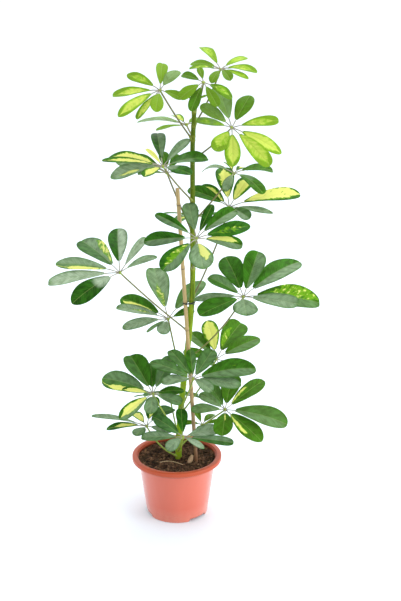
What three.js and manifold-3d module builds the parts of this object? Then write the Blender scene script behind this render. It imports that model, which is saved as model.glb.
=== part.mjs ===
// Potted umbrella plant: a variegated dwarf schefflera tied to a bamboo cane in a plastic nursery pot.
// Millimetres, +Z up. The origin is the centre of the pot's underside, which stands on the ground.
// Seen from the front (looking along +Y), +X is to the right.
import * as THREE from 'three';
import { mergeVertices } from 'three/addons/utils/BufferGeometryUtils.js';
import Module from 'manifold-3d';

const wasm = await Module();
wasm.setup();

// ---- Driving dimensions -------------------------------------------------------------------------

const CLEARANCE = 0.3;          // gap left between pieces that touch

const POT_SIDES = 32;
const POT_HEIGHT = 117;
const POT_WALL = 1.8;
const RIM_RADIUS = 85;          // a standard 17 cm pot
const RIM_DEPTH = 8;            // height of the down-turned rim
const MOUTH_RADIUS = 75.5;      // inside the rim
const SHOULDER_RADIUS = 73;     // body, just under the rim
const FOOT_RADIUS = 58;
const FOOT_HEIGHT = 6;          // how far the drained ring of the floor is raised
const PAD_RADIUS = 30;          // the middle of the floor, which comes down to the ground
const DRAIN_COUNT = 6;
const DRAIN_RADIUS = 4.5;
const NOTCH_COUNT = 3;
const NOTCH_WIDTH = 40;         // mm along the foot

const SOIL_TOP = 107;
const ROOT_DEPTH = 48;          // how far the stem goes down into the soil

const STEM_TOP = 788;
const STEM_SIDES = 8;
const STEM_FOOT = new THREE.Vector2(3, 0);
const STEM_LEAN = 28;           // sideways sweep to the right, gained below STEM_LEAN_TOP
const STEM_LEAN_TOP = 485;
const STEM_RADII = [6, 4];      // at the soil and at the top
const NODE_SWELLING = 0.6;      // ring at each leaf joint

const CANE_RADIUS = 3.7;
const CANE_SIDES = 8;
const CANE_KNOT_SPACING = 118;
const CANE_FOOT = new THREE.Vector3(38.5, -14.5, 80);
const CANE_TIP = new THREE.Vector3(4, -6, 640);

const TIE_HEIGHT = 425;
const TIE_RADIUS = 0.9;

const PETIOLE_RADIUS = 1.5;     // leaf stalk
const HUB_RADIUS = 3.6;         // knob where the leaflets meet
const SHEATH_RADIUS = 3.8;      // swollen foot of a leaf stalk, clasping the stem
const STALK_SHARE = 0.17;       // a leaflet's own thin stalk over its whole length
const STALK_HALF_WIDTH = 0.9;
const BLADE_WIDTH = 0.42;       // leaflet width over blade length
const BLADE_THICKNESS = 1.7;    // at the midrib, thinning to the edges
const BLADE_FOLD = 0.16;        // rise of the edges over the midrib, per half width
const LAYER_STEP = 8;           // degrees between the rise of one leaflet and the next, so they pass clear
const BLADE_STATIONS = [0.25, 0.61, 0.9, 1];    // along the blade itself

// Each leaf is an umbrella of leaflets round a hub on the end of a long stalk.
//   joint    height where the stalk leaves the stem
//   hub      where the leaflets meet
//   tilt     how far the umbrella leans over towards the compass direction "faces" (degrees)
//   rise     how steeply the leaflets leave the hub; droop is how far they then bend down
//   bow      how far the stalk's middle is bent off its straight line
//   neck     the leaflets' own stalk share, where it isn't STALK_SHARE
//   blades   [direction round the umbrella, length], and a width factor where it isn't 1;
//            direction 0 is to the right (+X), 90 away from the viewer and up, 270 towards the viewer
const LEAVES = [
  {
    name: 'leaf_shoot_tip', joint: 778, hub: [35, -4, 794], faces: 270, tilt: 15, rise: 40, droop: 35,
    bow: [0, 0, 0],
    blades: [[168, 36], [15, 24], [80, 28], [262, 22]],
    young: true
  },
  {
    name: 'leaf_crown_right', joint: 750, hub: [80, 20, 846], faces: 270, tilt: 20, rise: 19, droop: 40,
    bow: [4, 0, -8],
    blades: [[116, 75, 0.85], [148, 64, 0.85], [188, 56, 0.85], [246, 44, 1.1], [293, 46, 1.1],
      [328, 56, 0.85], [351, 66, 0.85], [42, 66, 0.85]],
    young: true
  },
  {
    name: 'leaf_crown_mid', joint: 774, hub: [50, -35, 833], faces: 270, tilt: 45, rise: 10, droop: 40,
    bow: [4, 0, -4],
    blades: [[101, 34], [148, 48], [216, 52, 1.2], [248, 56], [295, 54], [338, 58]],
    young: true
  },
  {
    name: 'leaf_crown_left', joint: 725, hub: [-25, -10, 815], faces: 270, tilt: 35, rise: 14, droop: 30,
    bow: [0, 0, -6],
    blades: [[57, 58, 1.2], [87, 68, 0.9], [147, 70, 0.85], [187, 83, 0.85], [222, 97, 0.65],
      [240, 74, 0.6], [262, 56, 1.2], [340, 42, 1.2]],
    young: true
  },
  {
    name: 'leaf_crown_back', joint: 732, hub: [20, 50, 742], faces: 270, tilt: 8, rise: 14, droop: 30,
    bow: [0, 0, -4],
    blades: [[10, 46], [60, 50], [120, 55], [150, 80, 0.7], [172, 92, 0.5], [205, 60, 0.8]]
  },
  {
    name: 'leaf_high_right', joint: 690, hub: [99, -40, 756], faces: 270, tilt: 45, rise: 14, droop: 30,
    bow: [0, 0, -6],
    blades: [[240, 60, 1.4], [271, 74, 1.1], [307, 106, 0.75], [332, 98, 0.8], [8, 82, 0.7],
      [64, 80, 1.1], [108, 86, 1.15], [135, 74, 0.9], [170, 64, 0.75]],
    young: true
  },
  {
    name: 'leaf_high_left', joint: 615, hub: [-20, -54, 691], faces: 270, tilt: 20, rise: 16, droop: 30,
    bow: [0, 0, -6], neck: 0.13,
    blades: [[325, 60, 1.5], [26, 86], [56, 86, 0.68], [98, 130, 0.56], [122, 54, 0.5],
      [157, 110, 0.8], [182, 106, 0.5], [193, 94, 1], [234, 54, 1.2]]
  },
  {
    name: 'leaf_high_left_back', joint: 555, hub: [-15, 25, 660], faces: 270, tilt: 20, rise: 26, droop: 30,
    bow: [0, 0, -6],
    blades: [[345, 42], [62, 50], [100, 55], [150, 75], [176, 95], [200, 55]]
  },
  {
    name: 'leaf_mid_right', joint: 430, hub: [97, 20, 598], faces: 270, tilt: 30, rise: 16, droop: 30,
    bow: [6, 0, -8],
    blades: [[318, 50, 1.3], [350, 80, 0.6], [12, 132, 0.65], [62, 88], [98, 100], [130, 75],
      [152, 88]]
  },
  {
    name: 'leaf_mid_right_back', joint: 575, hub: [105, 40, 655], faces: 270, tilt: 15, rise: 20, droop: 62,
    bow: [0, 0, -6],
    blades: [[306, 86, 0.85], [250, 48, 1.1], [12, 76], [60, 55], [105, 50], [138, 85, 0.5]]
  },
  {
    name: 'leaf_mid_front', joint: 487, hub: [38, -75, 568], faces: 270, tilt: 40, rise: 14, droop: 30,
    bow: [0, 0, -6],
    blades: [[280, 66, 1.9], [353, 82, 0.85], [12, 98, 0.95], [46, 98, 0.8], [65, 74, 0.7],
      [102, 86, 0.95], [146, 86, 0.65], [181, 95, 0.9], [230, 94, 1.1]]
  },
  {
    name: 'leaf_mid_left', joint: 365, hub: [-100, -20, 487], faces: 270, tilt: 30, rise: 14, droop: 30,
    bow: [0, 0, -6],
    blades: [[33, 78, 0.6], [62, 100, 0.5], [96, 114, 0.92], [131, 110, 1.2], [170, 122, 0.65],
      [190, 132, 0.7], [222, 112, 1]]
  },
  {
    name: 'leaf_mid_left_back', joint: 260, hub: [-15, 30, 380], faces: 270, tilt: 30, rise: 14, droop: 30,
    bow: [0, 0, -10],
    blades: [[20, 52], [58, 128, 0.85], [105, 124], [146, 110, 0.9], [168, 102, 0.65],
      [190, 88, 0.75], [222, 52, 0.45], [250, 38, 1.9]]
  },
  {
    name: 'leaf_mid_far_right', joint: 310, hub: [123, -20, 441], faces: 270, tilt: 30, rise: 14, droop: 25,
    bow: [12, 0, -14], neck: 0.13,
    blades: [[272, 52, 2.4], [1, 142, 1], [340, 105, 0.9], [45, 150, 0.85], [72, 102, 1.1],
      [107, 116, 1.05], [149, 75, 1.1], [180, 92, 0.5], [215, 98, 1.2]]
  },
  {
    name: 'leaf_low_right_back', joint: 200, hub: [75, 40, 295], faces: 270, tilt: 30, rise: 14, droop: 30,
    bow: [4, 0, -8],
    blades: [[290, 45], [340, 65], [30, 98, 1.15], [64, 108, 1.2], [99, 94], [127, 88], [165, 65],
      [215, 42]]
  },
  {
    name: 'leaf_low_front', joint: 210, hub: [32, -75, 303], faces: 270, tilt: 30, rise: 14, droop: 30,
    bow: [0, 0, -6], neck: 0.09,
    blades: [[322, 46, 1.3], [350, 88, 0.85], [14, 118, 0.95], [60, 78, 1.05], [97, 71, 0.7],
      [121, 80, 0.85], [155, 90, 0.72], [186, 58, 1.1]]
  },
  {
    name: 'leaf_low_left', joint: 155, hub: [-42, -60, 267], faces: 270, tilt: 30, rise: 14, droop: 30,
    bow: [0, 0, -6], neck: 0.14,
    blades: [[334, 60], [14, 60], [66, 86], [94, 82], [119, 96, 1.3], [154, 106, 1.12],
      [174, 58, 0.7], [220, 80, 0.9], [268, 46, 1.6]]
  },
  {
    name: 'leaf_base_left', joint: 112, hub: [-56, -20, 184], faces: 270, tilt: 12, rise: 16, droop: 30,
    bow: [-5, -14, -14],
    blades: [[328, 54, 1.3], [56, 82], [79, 82], [121, 58], [172, 106, 0.42], [180, 78, 0.75],
      [244, 44, 1.6]]
  },
  {
    name: 'leaf_base_front', joint: 124, hub: [13, -68, 184], faces: 270, tilt: 35, rise: 12, droop: 25,
    bow: [0, 0, -6], neck: 0.13,
    blades: [[330, 46, 0.8], [352, 94, 0.55], [14, 76], [94, 62], [142, 70], [180, 78, 0.8],
      [222, 42, 1.5]]
  },
  {
    name: 'leaf_base_right', joint: 141, hub: [91, -30, 222], faces: 270, tilt: 30, rise: 14, droop: 30,
    bow: [0, 16, -6], neck: 0.12,
    blades: [[266, 62, 1.6], [313, 95, 1.1], [345, 121, 0.92], [42, 104, 0.85], [80, 84, 1.2],
      [115, 72], [144, 62], [178, 64]]
  },
  {
    name: 'leaf_base_small', joint: 132, hub: [48, 30, 164], faces: 270, tilt: 12, rise: 19, droop: 30,
    bow: [0, 0, -4],
    blades: [[0, 40], [60, 45], [110, 40], [170, 40], [250, 25]]
  },
  {
    name: 'leaf_back_mid', joint: 505, hub: [35, 95, 560], faces: 90, tilt: 25, rise: 14, droop: 30,
    bow: [0, 0, -6],
    blades: [[10, 62], [50, 68], [90, 70], [130, 66], [170, 62], [220, 45], [270, 40], [320, 44]]
  },
  {
    name: 'leaf_back_low', joint: 235, hub: [15, 100, 262], faces: 90, tilt: 25, rise: 14, droop: 30,
    bow: [0, 0, -6],
    blades: [[325, 55], [15, 62], [52, 88], [90, 92], [128, 68], [165, 58], [215, 56], [270, 50]]
  },
  {
    name: 'leaf_back_base', joint: 148, hub: [-15, 85, 200], faces: 90, tilt: 25, rise: 14, droop: 30,
    bow: [0, 0, -6],
    blades: [[228, 50], [270, 36], [318, 46], [5, 66], [48, 76], [90, 80], [135, 76], [175, 70]]
  }
];

// ---- Solids and joins ---------------------------------------------------------------------------

// A closed three.js geometry as a manifold-3d solid, for joining and cutting.
function solid(geometry) {
  const bare = geometry.clone();
  bare.deleteAttribute('normal');
  bare.deleteAttribute('uv');
  const merged = mergeVertices(bare, 1e-4);
  return new wasm.Manifold(new wasm.Mesh({
    numProp: 3,
    vertProperties: new Float32Array(merged.attributes.position.array),
    triVerts: new Uint32Array(merged.index.array)
  }));
}

function joined(solids) {
  return solids.reduce((whole, next) => whole.add(next));
}

// The body itself, without any loose scrap that a cut left.
function largest(manifold) {
  return manifold.decompose().sort((a, b) => b.volume() - a.volume())[0];
}

function geometryOf(manifold) {
  const mesh = manifold.getMesh();
  const geometry = new THREE.BufferGeometry();
  geometry.setAttribute('position', new THREE.BufferAttribute(new Float32Array(mesh.vertProperties), 3));
  geometry.setIndex(new THREE.BufferAttribute(new Uint32Array(mesh.triVerts), 1));
  geometry.computeVertexNormals();
  return geometry;
}

// A lathe about +Z from [radius, height] pairs listed upwards along the outside.
function turned(profile, sides) {
  const points = profile.map(([radius, height]) => new THREE.Vector2(radius, height));
  return new THREE.LatheGeometry(points, sides).rotateX(Math.PI / 2);
}

// A tube of few sides along a curve.
function tube(path, radius, steps, sides) {
  const corners = [];
  for (let i = 0; i < sides; i += 1) {
    const angle = 2 * Math.PI * i / sides;
    corners.push(new THREE.Vector2(radius * Math.cos(angle), radius * Math.sin(angle)));
  }
  const section = new THREE.Shape(corners);
  return new THREE.ExtrudeGeometry(section, { steps, bevelEnabled: false, extrudePath: path });
}

function radians(degrees) {
  return THREE.MathUtils.degToRad(degrees);
}

// A fixed number from -1 to 1 that differs from leaf to leaf and leaflet to leaflet.
function vary(leafIndex, bladeIndex, kind) {
  return Math.sin(1.7 * leafIndex + 2.9 * bladeIndex + 4.3 * kind);
}

// ---- Pot ----------------------------------------------------------------------------------------

// Inner wall radius at a height, between the raised floor and the shoulder.
function potInnerRadius(height) {
  const slope = (SHOULDER_RADIUS - FOOT_RADIUS) / (POT_HEIGHT - RIM_DEPTH);
  return FOOT_RADIUS - POT_WALL + slope * height;
}

function pot() {
  const top = POT_HEIGHT;
  const shoulder = top - RIM_DEPTH;
  const floorTop = FOOT_HEIGHT + POT_WALL;
  const shell = solid(turned([
    [0, 0],
    [PAD_RADIUS, 0],
    [PAD_RADIUS + 1.5, FOOT_HEIGHT],
    [FOOT_RADIUS - 3.5, FOOT_HEIGHT],
    [FOOT_RADIUS - 2.8, 0],
    [FOOT_RADIUS, 0],
    [SHOULDER_RADIUS, shoulder],
    [SHOULDER_RADIUS + 0.5, top - 2.6],
    [RIM_RADIUS - 2, top - 2.6],
    [RIM_RADIUS - 1.8, shoulder],
    [RIM_RADIUS, shoulder],
    [RIM_RADIUS, top - 2.4],
    [RIM_RADIUS - 0.8, top - 0.7],
    [RIM_RADIUS - 2.4, top],
    [MOUTH_RADIUS + 1.2, top],
    [MOUTH_RADIUS, top - 1.2],
    [MOUTH_RADIUS - 0.6, shoulder],
    [potInnerRadius(shoulder - 2), shoulder - 2],
    [potInnerRadius(floorTop), floorTop],
    [PAD_RADIUS, floorTop],
    [PAD_RADIUS - 1.5, POT_WALL],
    [0, POT_WALL]
  ], POT_SIDES));
  const cuts = [];
  for (let i = 0; i < DRAIN_COUNT; i += 1) {
    const angle = (i + 0.5) * 2 * Math.PI / DRAIN_COUNT;
    const ring = (PAD_RADIUS + FOOT_RADIUS) / 2;
    const drain = new THREE.CylinderGeometry(DRAIN_RADIUS, DRAIN_RADIUS, 3 * FOOT_HEIGHT, 8);
    drain.rotateX(Math.PI / 2).translate(ring * Math.cos(angle), ring * Math.sin(angle), FOOT_HEIGHT);
    cuts.push(solid(drain));
  }
  for (let i = 0; i < NOTCH_COUNT; i += 1) {
    const notch = new THREE.BoxGeometry(12, NOTCH_WIDTH, 2 * (FOOT_HEIGHT - 0.4));
    notch.translate(FOOT_RADIUS - 2, 0, 0).rotateZ(radians(75 + 120 * i));
    cuts.push(solid(notch));
  }
  return geometryOf(shell.subtract(joined(cuts)));
}

// ---- Stem and cane ------------------------------------------------------------------------------

// The stem's centre at a height: it sweeps to the right on the way up, then a little more at the top.
function stemCentre(height) {
  const sweep = THREE.MathUtils.smoothstep(height, SOIL_TOP, STEM_LEAN_TOP);
  const crown = THREE.MathUtils.smoothstep(height, 700, STEM_TOP);
  return new THREE.Vector3(STEM_FOOT.x + STEM_LEAN * sweep + 3 * crown, STEM_FOOT.y, height);
}

function stemRadius(height) {
  const share = Math.max(0, height - SOIL_TOP) / (STEM_TOP - SOIL_TOP);
  return STEM_RADII[0] + (STEM_RADII[1] - STEM_RADII[0]) * share;
}

// A tapered lathe with a swollen ring at each joint, slid sideways ring by ring onto its centre line.
function stem(extra) {
  const foot = SOIL_TOP - ROOT_DEPTH - extra;
  const rings = [[foot, 0], [SOIL_TOP, 0], [STEM_TOP - 4, 0]];
  for (const leaf of LEAVES) {
    rings.push([leaf.joint - 3, 0], [leaf.joint, NODE_SWELLING]);
  }
  rings.sort((a, b) => a[0] - b[0]);
  const sides = rings.map(([height, swelling]) => [stemRadius(height) + swelling + extra, height]);
  const geometry = turned([[0, foot], ...sides, [0, STEM_TOP + extra]], STEM_SIDES);
  const position = geometry.attributes.position;
  for (let i = 0; i < position.count; i += 1) {
    const centre = stemCentre(position.getZ(i));
    position.setX(i, position.getX(i) + centre.x);
    position.setY(i, position.getY(i) + centre.y);
  }
  return geometry;
}

// A straight rod with a raised knot at regular spacing, stood along the line from foot to tip.
function cane(extra) {
  const along = CANE_TIP.clone().sub(CANE_FOOT);
  const length = along.length();
  const profile = [[0, -extra], [CANE_RADIUS + extra, -extra]];
  for (let at = 60; at < length - 10; at += CANE_KNOT_SPACING) {
    profile.push([CANE_RADIUS + extra, at - 3]);
    profile.push([CANE_RADIUS + 0.5 + extra, at]);
    profile.push([CANE_RADIUS + extra, at + 3]);
  }
  profile.push([CANE_RADIUS + extra, length + extra], [0, length + extra]);
  const turn = new THREE.Quaternion().setFromUnitVectors(new THREE.Vector3(0, 0, 1), along.normalize());
  return turned(profile, CANE_SIDES).applyQuaternion(turn).translate(...CANE_FOOT);
}

function caneCentre(height) {
  const share = (height - CANE_FOOT.z) / (CANE_TIP.z - CANE_FOOT.z);
  return CANE_FOOT.clone().lerp(CANE_TIP, share);
}

// ---- Tie ----------------------------------------------------------------------------------------

// A wire loop round the cane and the stem: in each direction it lies on whichever of them reaches
// furthest. Its ends are twisted together in front of the stem.
function tie() {
  const rods = [
    { centre: caneCentre(TIE_HEIGHT), reach: CANE_RADIUS + CLEARANCE + TIE_RADIUS },
    { centre: stemCentre(TIE_HEIGHT), reach: stemRadius(TIE_HEIGHT) + CLEARANCE + TIE_RADIUS }
  ];
  const twistDirection = 292;
  const points = [];
  for (let turn = 6; turn <= 354; turn += 18) {
    const angle = radians(twistDirection + turn);
    const out = new THREE.Vector3(Math.cos(angle), Math.sin(angle), 0);
    const reaches = rods.map(rod => rod.centre.dot(out) + rod.reach);
    const rod = rods[reaches[0] > reaches[1] ? 0 : 1];
    points.push(rod.centre.clone().addScaledVector(out, rod.reach * 1.06).setZ(TIE_HEIGHT));
  }
  const loop = solid(tube(new THREE.CatmullRomCurve3(points), TIE_RADIUS, 20, 4));
  const start = points[0].clone().add(points[points.length - 1]).multiplyScalar(0.5);
  const strands = [];
  for (const side of [0, Math.PI]) {
    const strand = [];
    for (let step = 0; step <= 12; step += 1) {
      const angle = side + step * 1.0;
      const spread = 0.75 + (step > 9 ? (step - 9) * 0.7 : 0);
      strand.push(new THREE.Vector3(
        start.x + 1.35 * step - 1,
        start.y - 1 - 0.2 * step + spread * Math.cos(angle),
        TIE_HEIGHT + 0.2 * step + spread * Math.sin(angle)
      ));
    }
    strands.push(solid(tube(new THREE.CatmullRomCurve3(strand), TIE_RADIUS, 10, 4)));
  }
  const knob = solid(new THREE.OctahedronGeometry(2.1, 0).translate(start.x, start.y - 0.9, TIE_HEIGHT));
  const whole = joined([loop, knob, ...strands]);
  return geometryOf(whole.subtract(solid(stem(CLEARANCE))).subtract(solid(cane(CLEARANCE))));
}

// ---- Soil ---------------------------------------------------------------------------------------

// Fills the pot up to the step under the rim, with an uneven top that rises a little towards the wall, and
// plain holes that the stem and the cane stand in.
function soil() {
  const floorTop = FOOT_HEIGHT + POT_WALL + CLEARANCE;
  const shoulder = POT_HEIGHT - RIM_DEPTH;
  const wallTop = shoulder - 2;
  const gap = 1.5 * CLEARANCE;
  const edgeRadius = MOUTH_RADIUS - 0.6 - gap;
  const topRadii = [64, 47, 32, 17];
  const geometry = turned([
    [0, POT_WALL + CLEARANCE],
    [PAD_RADIUS - 1.5 - gap, POT_WALL + CLEARANCE],
    [PAD_RADIUS - gap, floorTop],
    [potInnerRadius(floorTop) - gap, floorTop],
    [potInnerRadius(wallTop) - gap, wallTop + 0.1],
    [edgeRadius, shoulder + CLEARANCE],
    [edgeRadius, shoulder + 0.8],
    ...topRadii.map(radius => [radius, SOIL_TOP]),
    [0, SOIL_TOP]
  ], POT_SIDES);
  const position = geometry.attributes.position;
  for (let i = 0; i < position.count; i += 1) {
    if (Math.abs(position.getZ(i) - SOIL_TOP) < 0.01) {
      const x = position.getX(i);
      const y = position.getY(i);
      const wave = 1.4 * Math.sin(x / 7.3 + 1) * Math.cos(y / 8.1) + 0.8 * Math.sin((x + y) / 4.9);
      position.setZ(i, SOIL_TOP + wave);
    }
  }
  return geometryOf(solid(geometry).subtract(solid(stem(CLEARANCE))).subtract(solid(cane(CLEARANCE))));
}

// ---- Leaves -------------------------------------------------------------------------------------

// Half width of a leaflet blade at a share u of its length, 1 at its widest: an egg shape, broad end out.
// The smaller "tip" is, the blunter the tip.
function outline(u, tip) {
  const base = 0.95;
  const widest = base / (base + tip);
  return (u / widest) ** base * ((1 - u) / (1 - widest)) ** tip;
}

// The umbrella's own directions: up its axis, to the right, and away from the viewer.
function umbrella(leaf) {
  const compass = radians(leaf.faces);
  const tilt = radians(leaf.tilt);
  const up = new THREE.Vector3(
    Math.sin(tilt) * Math.cos(compass),
    Math.sin(tilt) * Math.sin(compass),
    Math.cos(tilt)
  );
  const right = new THREE.Vector3(1, 0, 0).addScaledVector(up, -up.x).normalize();
  const away = new THREE.Vector3().crossVectors(up, right);
  return { up, right, away };
}

// One leaflet: a long four-cornered cone whose rings are carried along a drooping arc and widened to the
// blade's outline, down to a point at the tip. Its corners are the two edges, the top of the midrib and
// the underside; the edges lift to give the blade its fold.
function leaflet(leaf, leafIndex, bladeIndex) {
  const { up, right, away } = umbrella(leaf);
  const [direction, length, widthFactor = 1] = leaf.blades[bladeIndex];
  const heading = radians(direction);
  const out = right.clone().multiplyScalar(Math.cos(heading)).addScaledVector(away, Math.sin(heading));
  const side = new THREE.Vector3().crossVectors(up, out);
  const rise = radians(leaf.rise + (bladeIndex % 2 === 0 ? LAYER_STEP : -LAYER_STEP) / 2);
  const droop = radians(leaf.droop + 8 * vary(leafIndex, bladeIndex, 2));
  const roll = radians(12 * vary(leafIndex, bladeIndex, 3));
  const swerve = 0.04 * length * vary(leafIndex, bladeIndex, 4);
  const neck = leaf.neck ?? STALK_SHARE;
  const halfWidth = widthFactor * BLADE_WIDTH * length * (1 - neck) / 2;
  const tip = 0.5 + 0.1 * vary(leafIndex, bladeIndex, 8);

  const stations = [0, neck, ...BLADE_STATIONS.map(share => neck + (1 - neck) * share)];
  const last = stations.length - 1;
  const geometry = new THREE.CylinderGeometry(1, 0, 1, 4, last);
  const position = geometry.attributes.position;
  const hub = new THREE.Vector3(...leaf.hub);
  for (let i = 0; i < position.count; i += 1) {
    const station = Math.round((0.5 - position.getY(i)) * last);
    const ringRadius = Math.max(1 - station / last, 1e-6);
    const t = stations[station];
    const slope = rise - droop * t;
    const u = Math.max(0, (t - neck) / (1 - neck));
    const half = Math.max(STALK_HALF_WIDTH, halfWidth * outline(u, tip));
    const across = position.getX(i) / ringRadius;
    const through = position.getZ(i) / ringRadius;
    const normal = up.clone().multiplyScalar(Math.cos(slope)).addScaledVector(out, -Math.sin(slope));
    const turn = roll * t;
    const edge = side.clone().multiplyScalar(Math.cos(turn)).addScaledVector(normal, Math.sin(turn));
    const face = normal.clone().multiplyScalar(Math.cos(turn)).addScaledVector(side, -Math.sin(turn));
    const fold = half > STALK_HALF_WIDTH ? BLADE_FOLD * half * Math.abs(across) : 0;
    const point = hub.clone();
    point.addScaledVector(out, length * (Math.sin(rise) - Math.sin(slope)) / droop);
    point.addScaledVector(up, length * (Math.cos(slope) - Math.cos(rise)) / droop);
    point.addScaledVector(side, swerve * t * t);
    point.addScaledVector(edge, across * half);
    point.addScaledVector(face, through * BLADE_THICKNESS / 2 + fold);
    position.setXYZ(i, point.x, point.y, point.z);
  }
  return solid(geometry);
}

// A whole leaf: clasping foot, long stalk, hub and leaflets in one body, seated against the stem.
function leafSolid(leaf, leafIndex) {
  const joint = stemCentre(leaf.joint);
  const hub = new THREE.Vector3(...leaf.hub);
  const middle = joint.clone().add(hub).multiplyScalar(0.5).add(new THREE.Vector3(...leaf.bow));
  const stalk = new THREE.QuadraticBezierCurve3(joint, middle, hub);
  const isInStem = point => point.distanceTo(stemCentre(point.z)) < stemRadius(leaf.joint);
  let leaving = 0;
  while (isInStem(stalk.getPoint(leaving))) {
    leaving += 0.005;
  }
  const sheath = stalk.getPoint(leaving);
  const sheathBall = solid(new THREE.OctahedronGeometry(SHEATH_RADIUS, 0).translate(...sheath));
  const seated = solid(tube(stalk, PETIOLE_RADIUS, 5, 5)).add(sheathBall).subtract(solid(stem(CLEARANCE)));
  const pieces = [seated, solid(new THREE.OctahedronGeometry(HUB_RADIUS, 0).translate(...hub))];
  leaf.blades.forEach((blade, bladeIndex) => pieces.push(leaflet(leaf, leafIndex, bladeIndex)));
  return largest(joined(pieces));
}

// ---- The plant ----------------------------------------------------------------------------------

const COLOURS = {
  pot: { color: 0xd9694a, roughness: 0.45, metalness: 0 },
  soil: { color: 0x3a281c, roughness: 1, metalness: 0 },
  stem: { color: 0x5f8c1c, roughness: 0.6, metalness: 0 },
  cane: { color: 0xb98f5e, roughness: 0.65, metalness: 0 },
  tie: { color: 0x16201a, roughness: 0.5, metalness: 0 },
  leaf: { color: 0x2f6b22, roughness: 0.4, metalness: 0 },
  youngLeaf: { color: 0x8fbf2e, roughness: 0.45, metalness: 0 }
};

const group = new THREE.Group();

function place(name, geometry, finish) {
  const mesh = new THREE.Mesh(geometry, new THREE.MeshStandardMaterial(COLOURS[finish]));
  mesh.name = name;
  group.add(mesh);
}

place('pot', pot(), 'pot');
place('soil', soil(), 'soil');
place('stem', geometryOf(solid(stem(0))), 'stem');
place('cane', geometryOf(solid(cane(0))), 'cane');
place('tie', tie(), 'tie');
LEAVES.forEach((leaf, leafIndex) => {
  place(leaf.name, geometryOf(leafSolid(leaf, leafIndex)), leaf.young ? 'youngLeaf' : 'leaf');
});

export default group;
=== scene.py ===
# %% [markdown]
# # Potted umbrella plant
# A variegated dwarf schefflera stands in a terracotta-coloured nursery pot, tied to a bamboo cane. Every
# leaf is an umbrella: a long stalk, a small hub, and four to nine leaflets spread round it.
#
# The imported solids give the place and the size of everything. This script dresses them: it builds a finer
# skin for each one from the same formulas, and gives it the finish of the real material. Lengths are in
# millimetres and become metres when a mesh is made. Only the camera, the floor, the lights and what
# materials read from Object coordinates are in metres from the start.

# %% Load the fixed frame
from functools import partial
from types import SimpleNamespace

import bpy
import numpy as np
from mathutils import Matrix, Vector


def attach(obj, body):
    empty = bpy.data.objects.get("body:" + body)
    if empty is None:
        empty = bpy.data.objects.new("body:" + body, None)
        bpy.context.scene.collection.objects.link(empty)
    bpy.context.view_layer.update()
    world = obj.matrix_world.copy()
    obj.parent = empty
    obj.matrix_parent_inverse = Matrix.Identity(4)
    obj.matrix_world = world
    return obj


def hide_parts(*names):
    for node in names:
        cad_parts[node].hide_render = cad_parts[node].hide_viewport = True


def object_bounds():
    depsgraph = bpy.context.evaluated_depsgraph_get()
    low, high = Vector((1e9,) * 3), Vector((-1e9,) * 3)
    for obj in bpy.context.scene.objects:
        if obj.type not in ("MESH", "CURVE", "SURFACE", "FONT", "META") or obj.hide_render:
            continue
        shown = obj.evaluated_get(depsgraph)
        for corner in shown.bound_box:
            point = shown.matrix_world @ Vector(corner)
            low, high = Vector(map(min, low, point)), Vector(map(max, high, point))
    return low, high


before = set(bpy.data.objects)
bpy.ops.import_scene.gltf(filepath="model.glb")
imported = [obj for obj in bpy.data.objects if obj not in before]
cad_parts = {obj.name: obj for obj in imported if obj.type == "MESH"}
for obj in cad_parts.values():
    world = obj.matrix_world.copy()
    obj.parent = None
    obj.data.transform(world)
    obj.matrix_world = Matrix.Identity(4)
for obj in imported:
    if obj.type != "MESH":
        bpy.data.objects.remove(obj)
solid_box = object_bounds()
print("solids:", len(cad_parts), "reach", [round(v, 3) for corner in solid_box for v in corner])

# %% [markdown]
# ## Camera
# The plant is seen from the front and a little above, through a long lens, so that its height is hardly
# squeezed. The camera comes first, so that each later step can be looked at through it.

# %% Camera
lens = bpy.data.cameras.new("camera")
lens.lens = 80.0
camera = bpy.data.objects.new("camera", lens)
camera.location = (0.045, -2.302, 1.242)
camera.rotation_euler = (np.radians(70.5), 0.0, 0.0)
bpy.context.scene.collection.objects.link(camera)
bpy.context.scene.camera = camera
print("camera:", lens.lens, "mm lens,", round(camera.location.z, 2), "m above the floor")

# %% [markdown]
# ## From surfaces to meshes
# Everything here that grew or was moulded is a stack of rings: a leaflet is a stack of thin lens shapes, a
# stem a stack of circles, the pot a profile turned round its axis. So one function makes a closed skin from
# any stack of rings, and one more puts finished skins into a mesh. A modifier stack could do the same from
# simple shapes, but arrays keep each piece tied to its formula.

# %% Closed skins
MM = 0.001


def xyz(x, y, z):
    """Points from three coordinates, which are numbers or arrays whose shapes fit together."""
    return np.stack(np.broadcast_arrays(x, y, z), axis=-1)


def directions(sides):
    """Even angles all the way round."""
    return np.arange(sides) * 2 * np.pi / sides


def turned(radius, angle, z):
    """Points at a radius and a height, in the direction of each angle."""
    return xyz(radius * np.cos(angle), radius * np.sin(angle), z)


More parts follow.
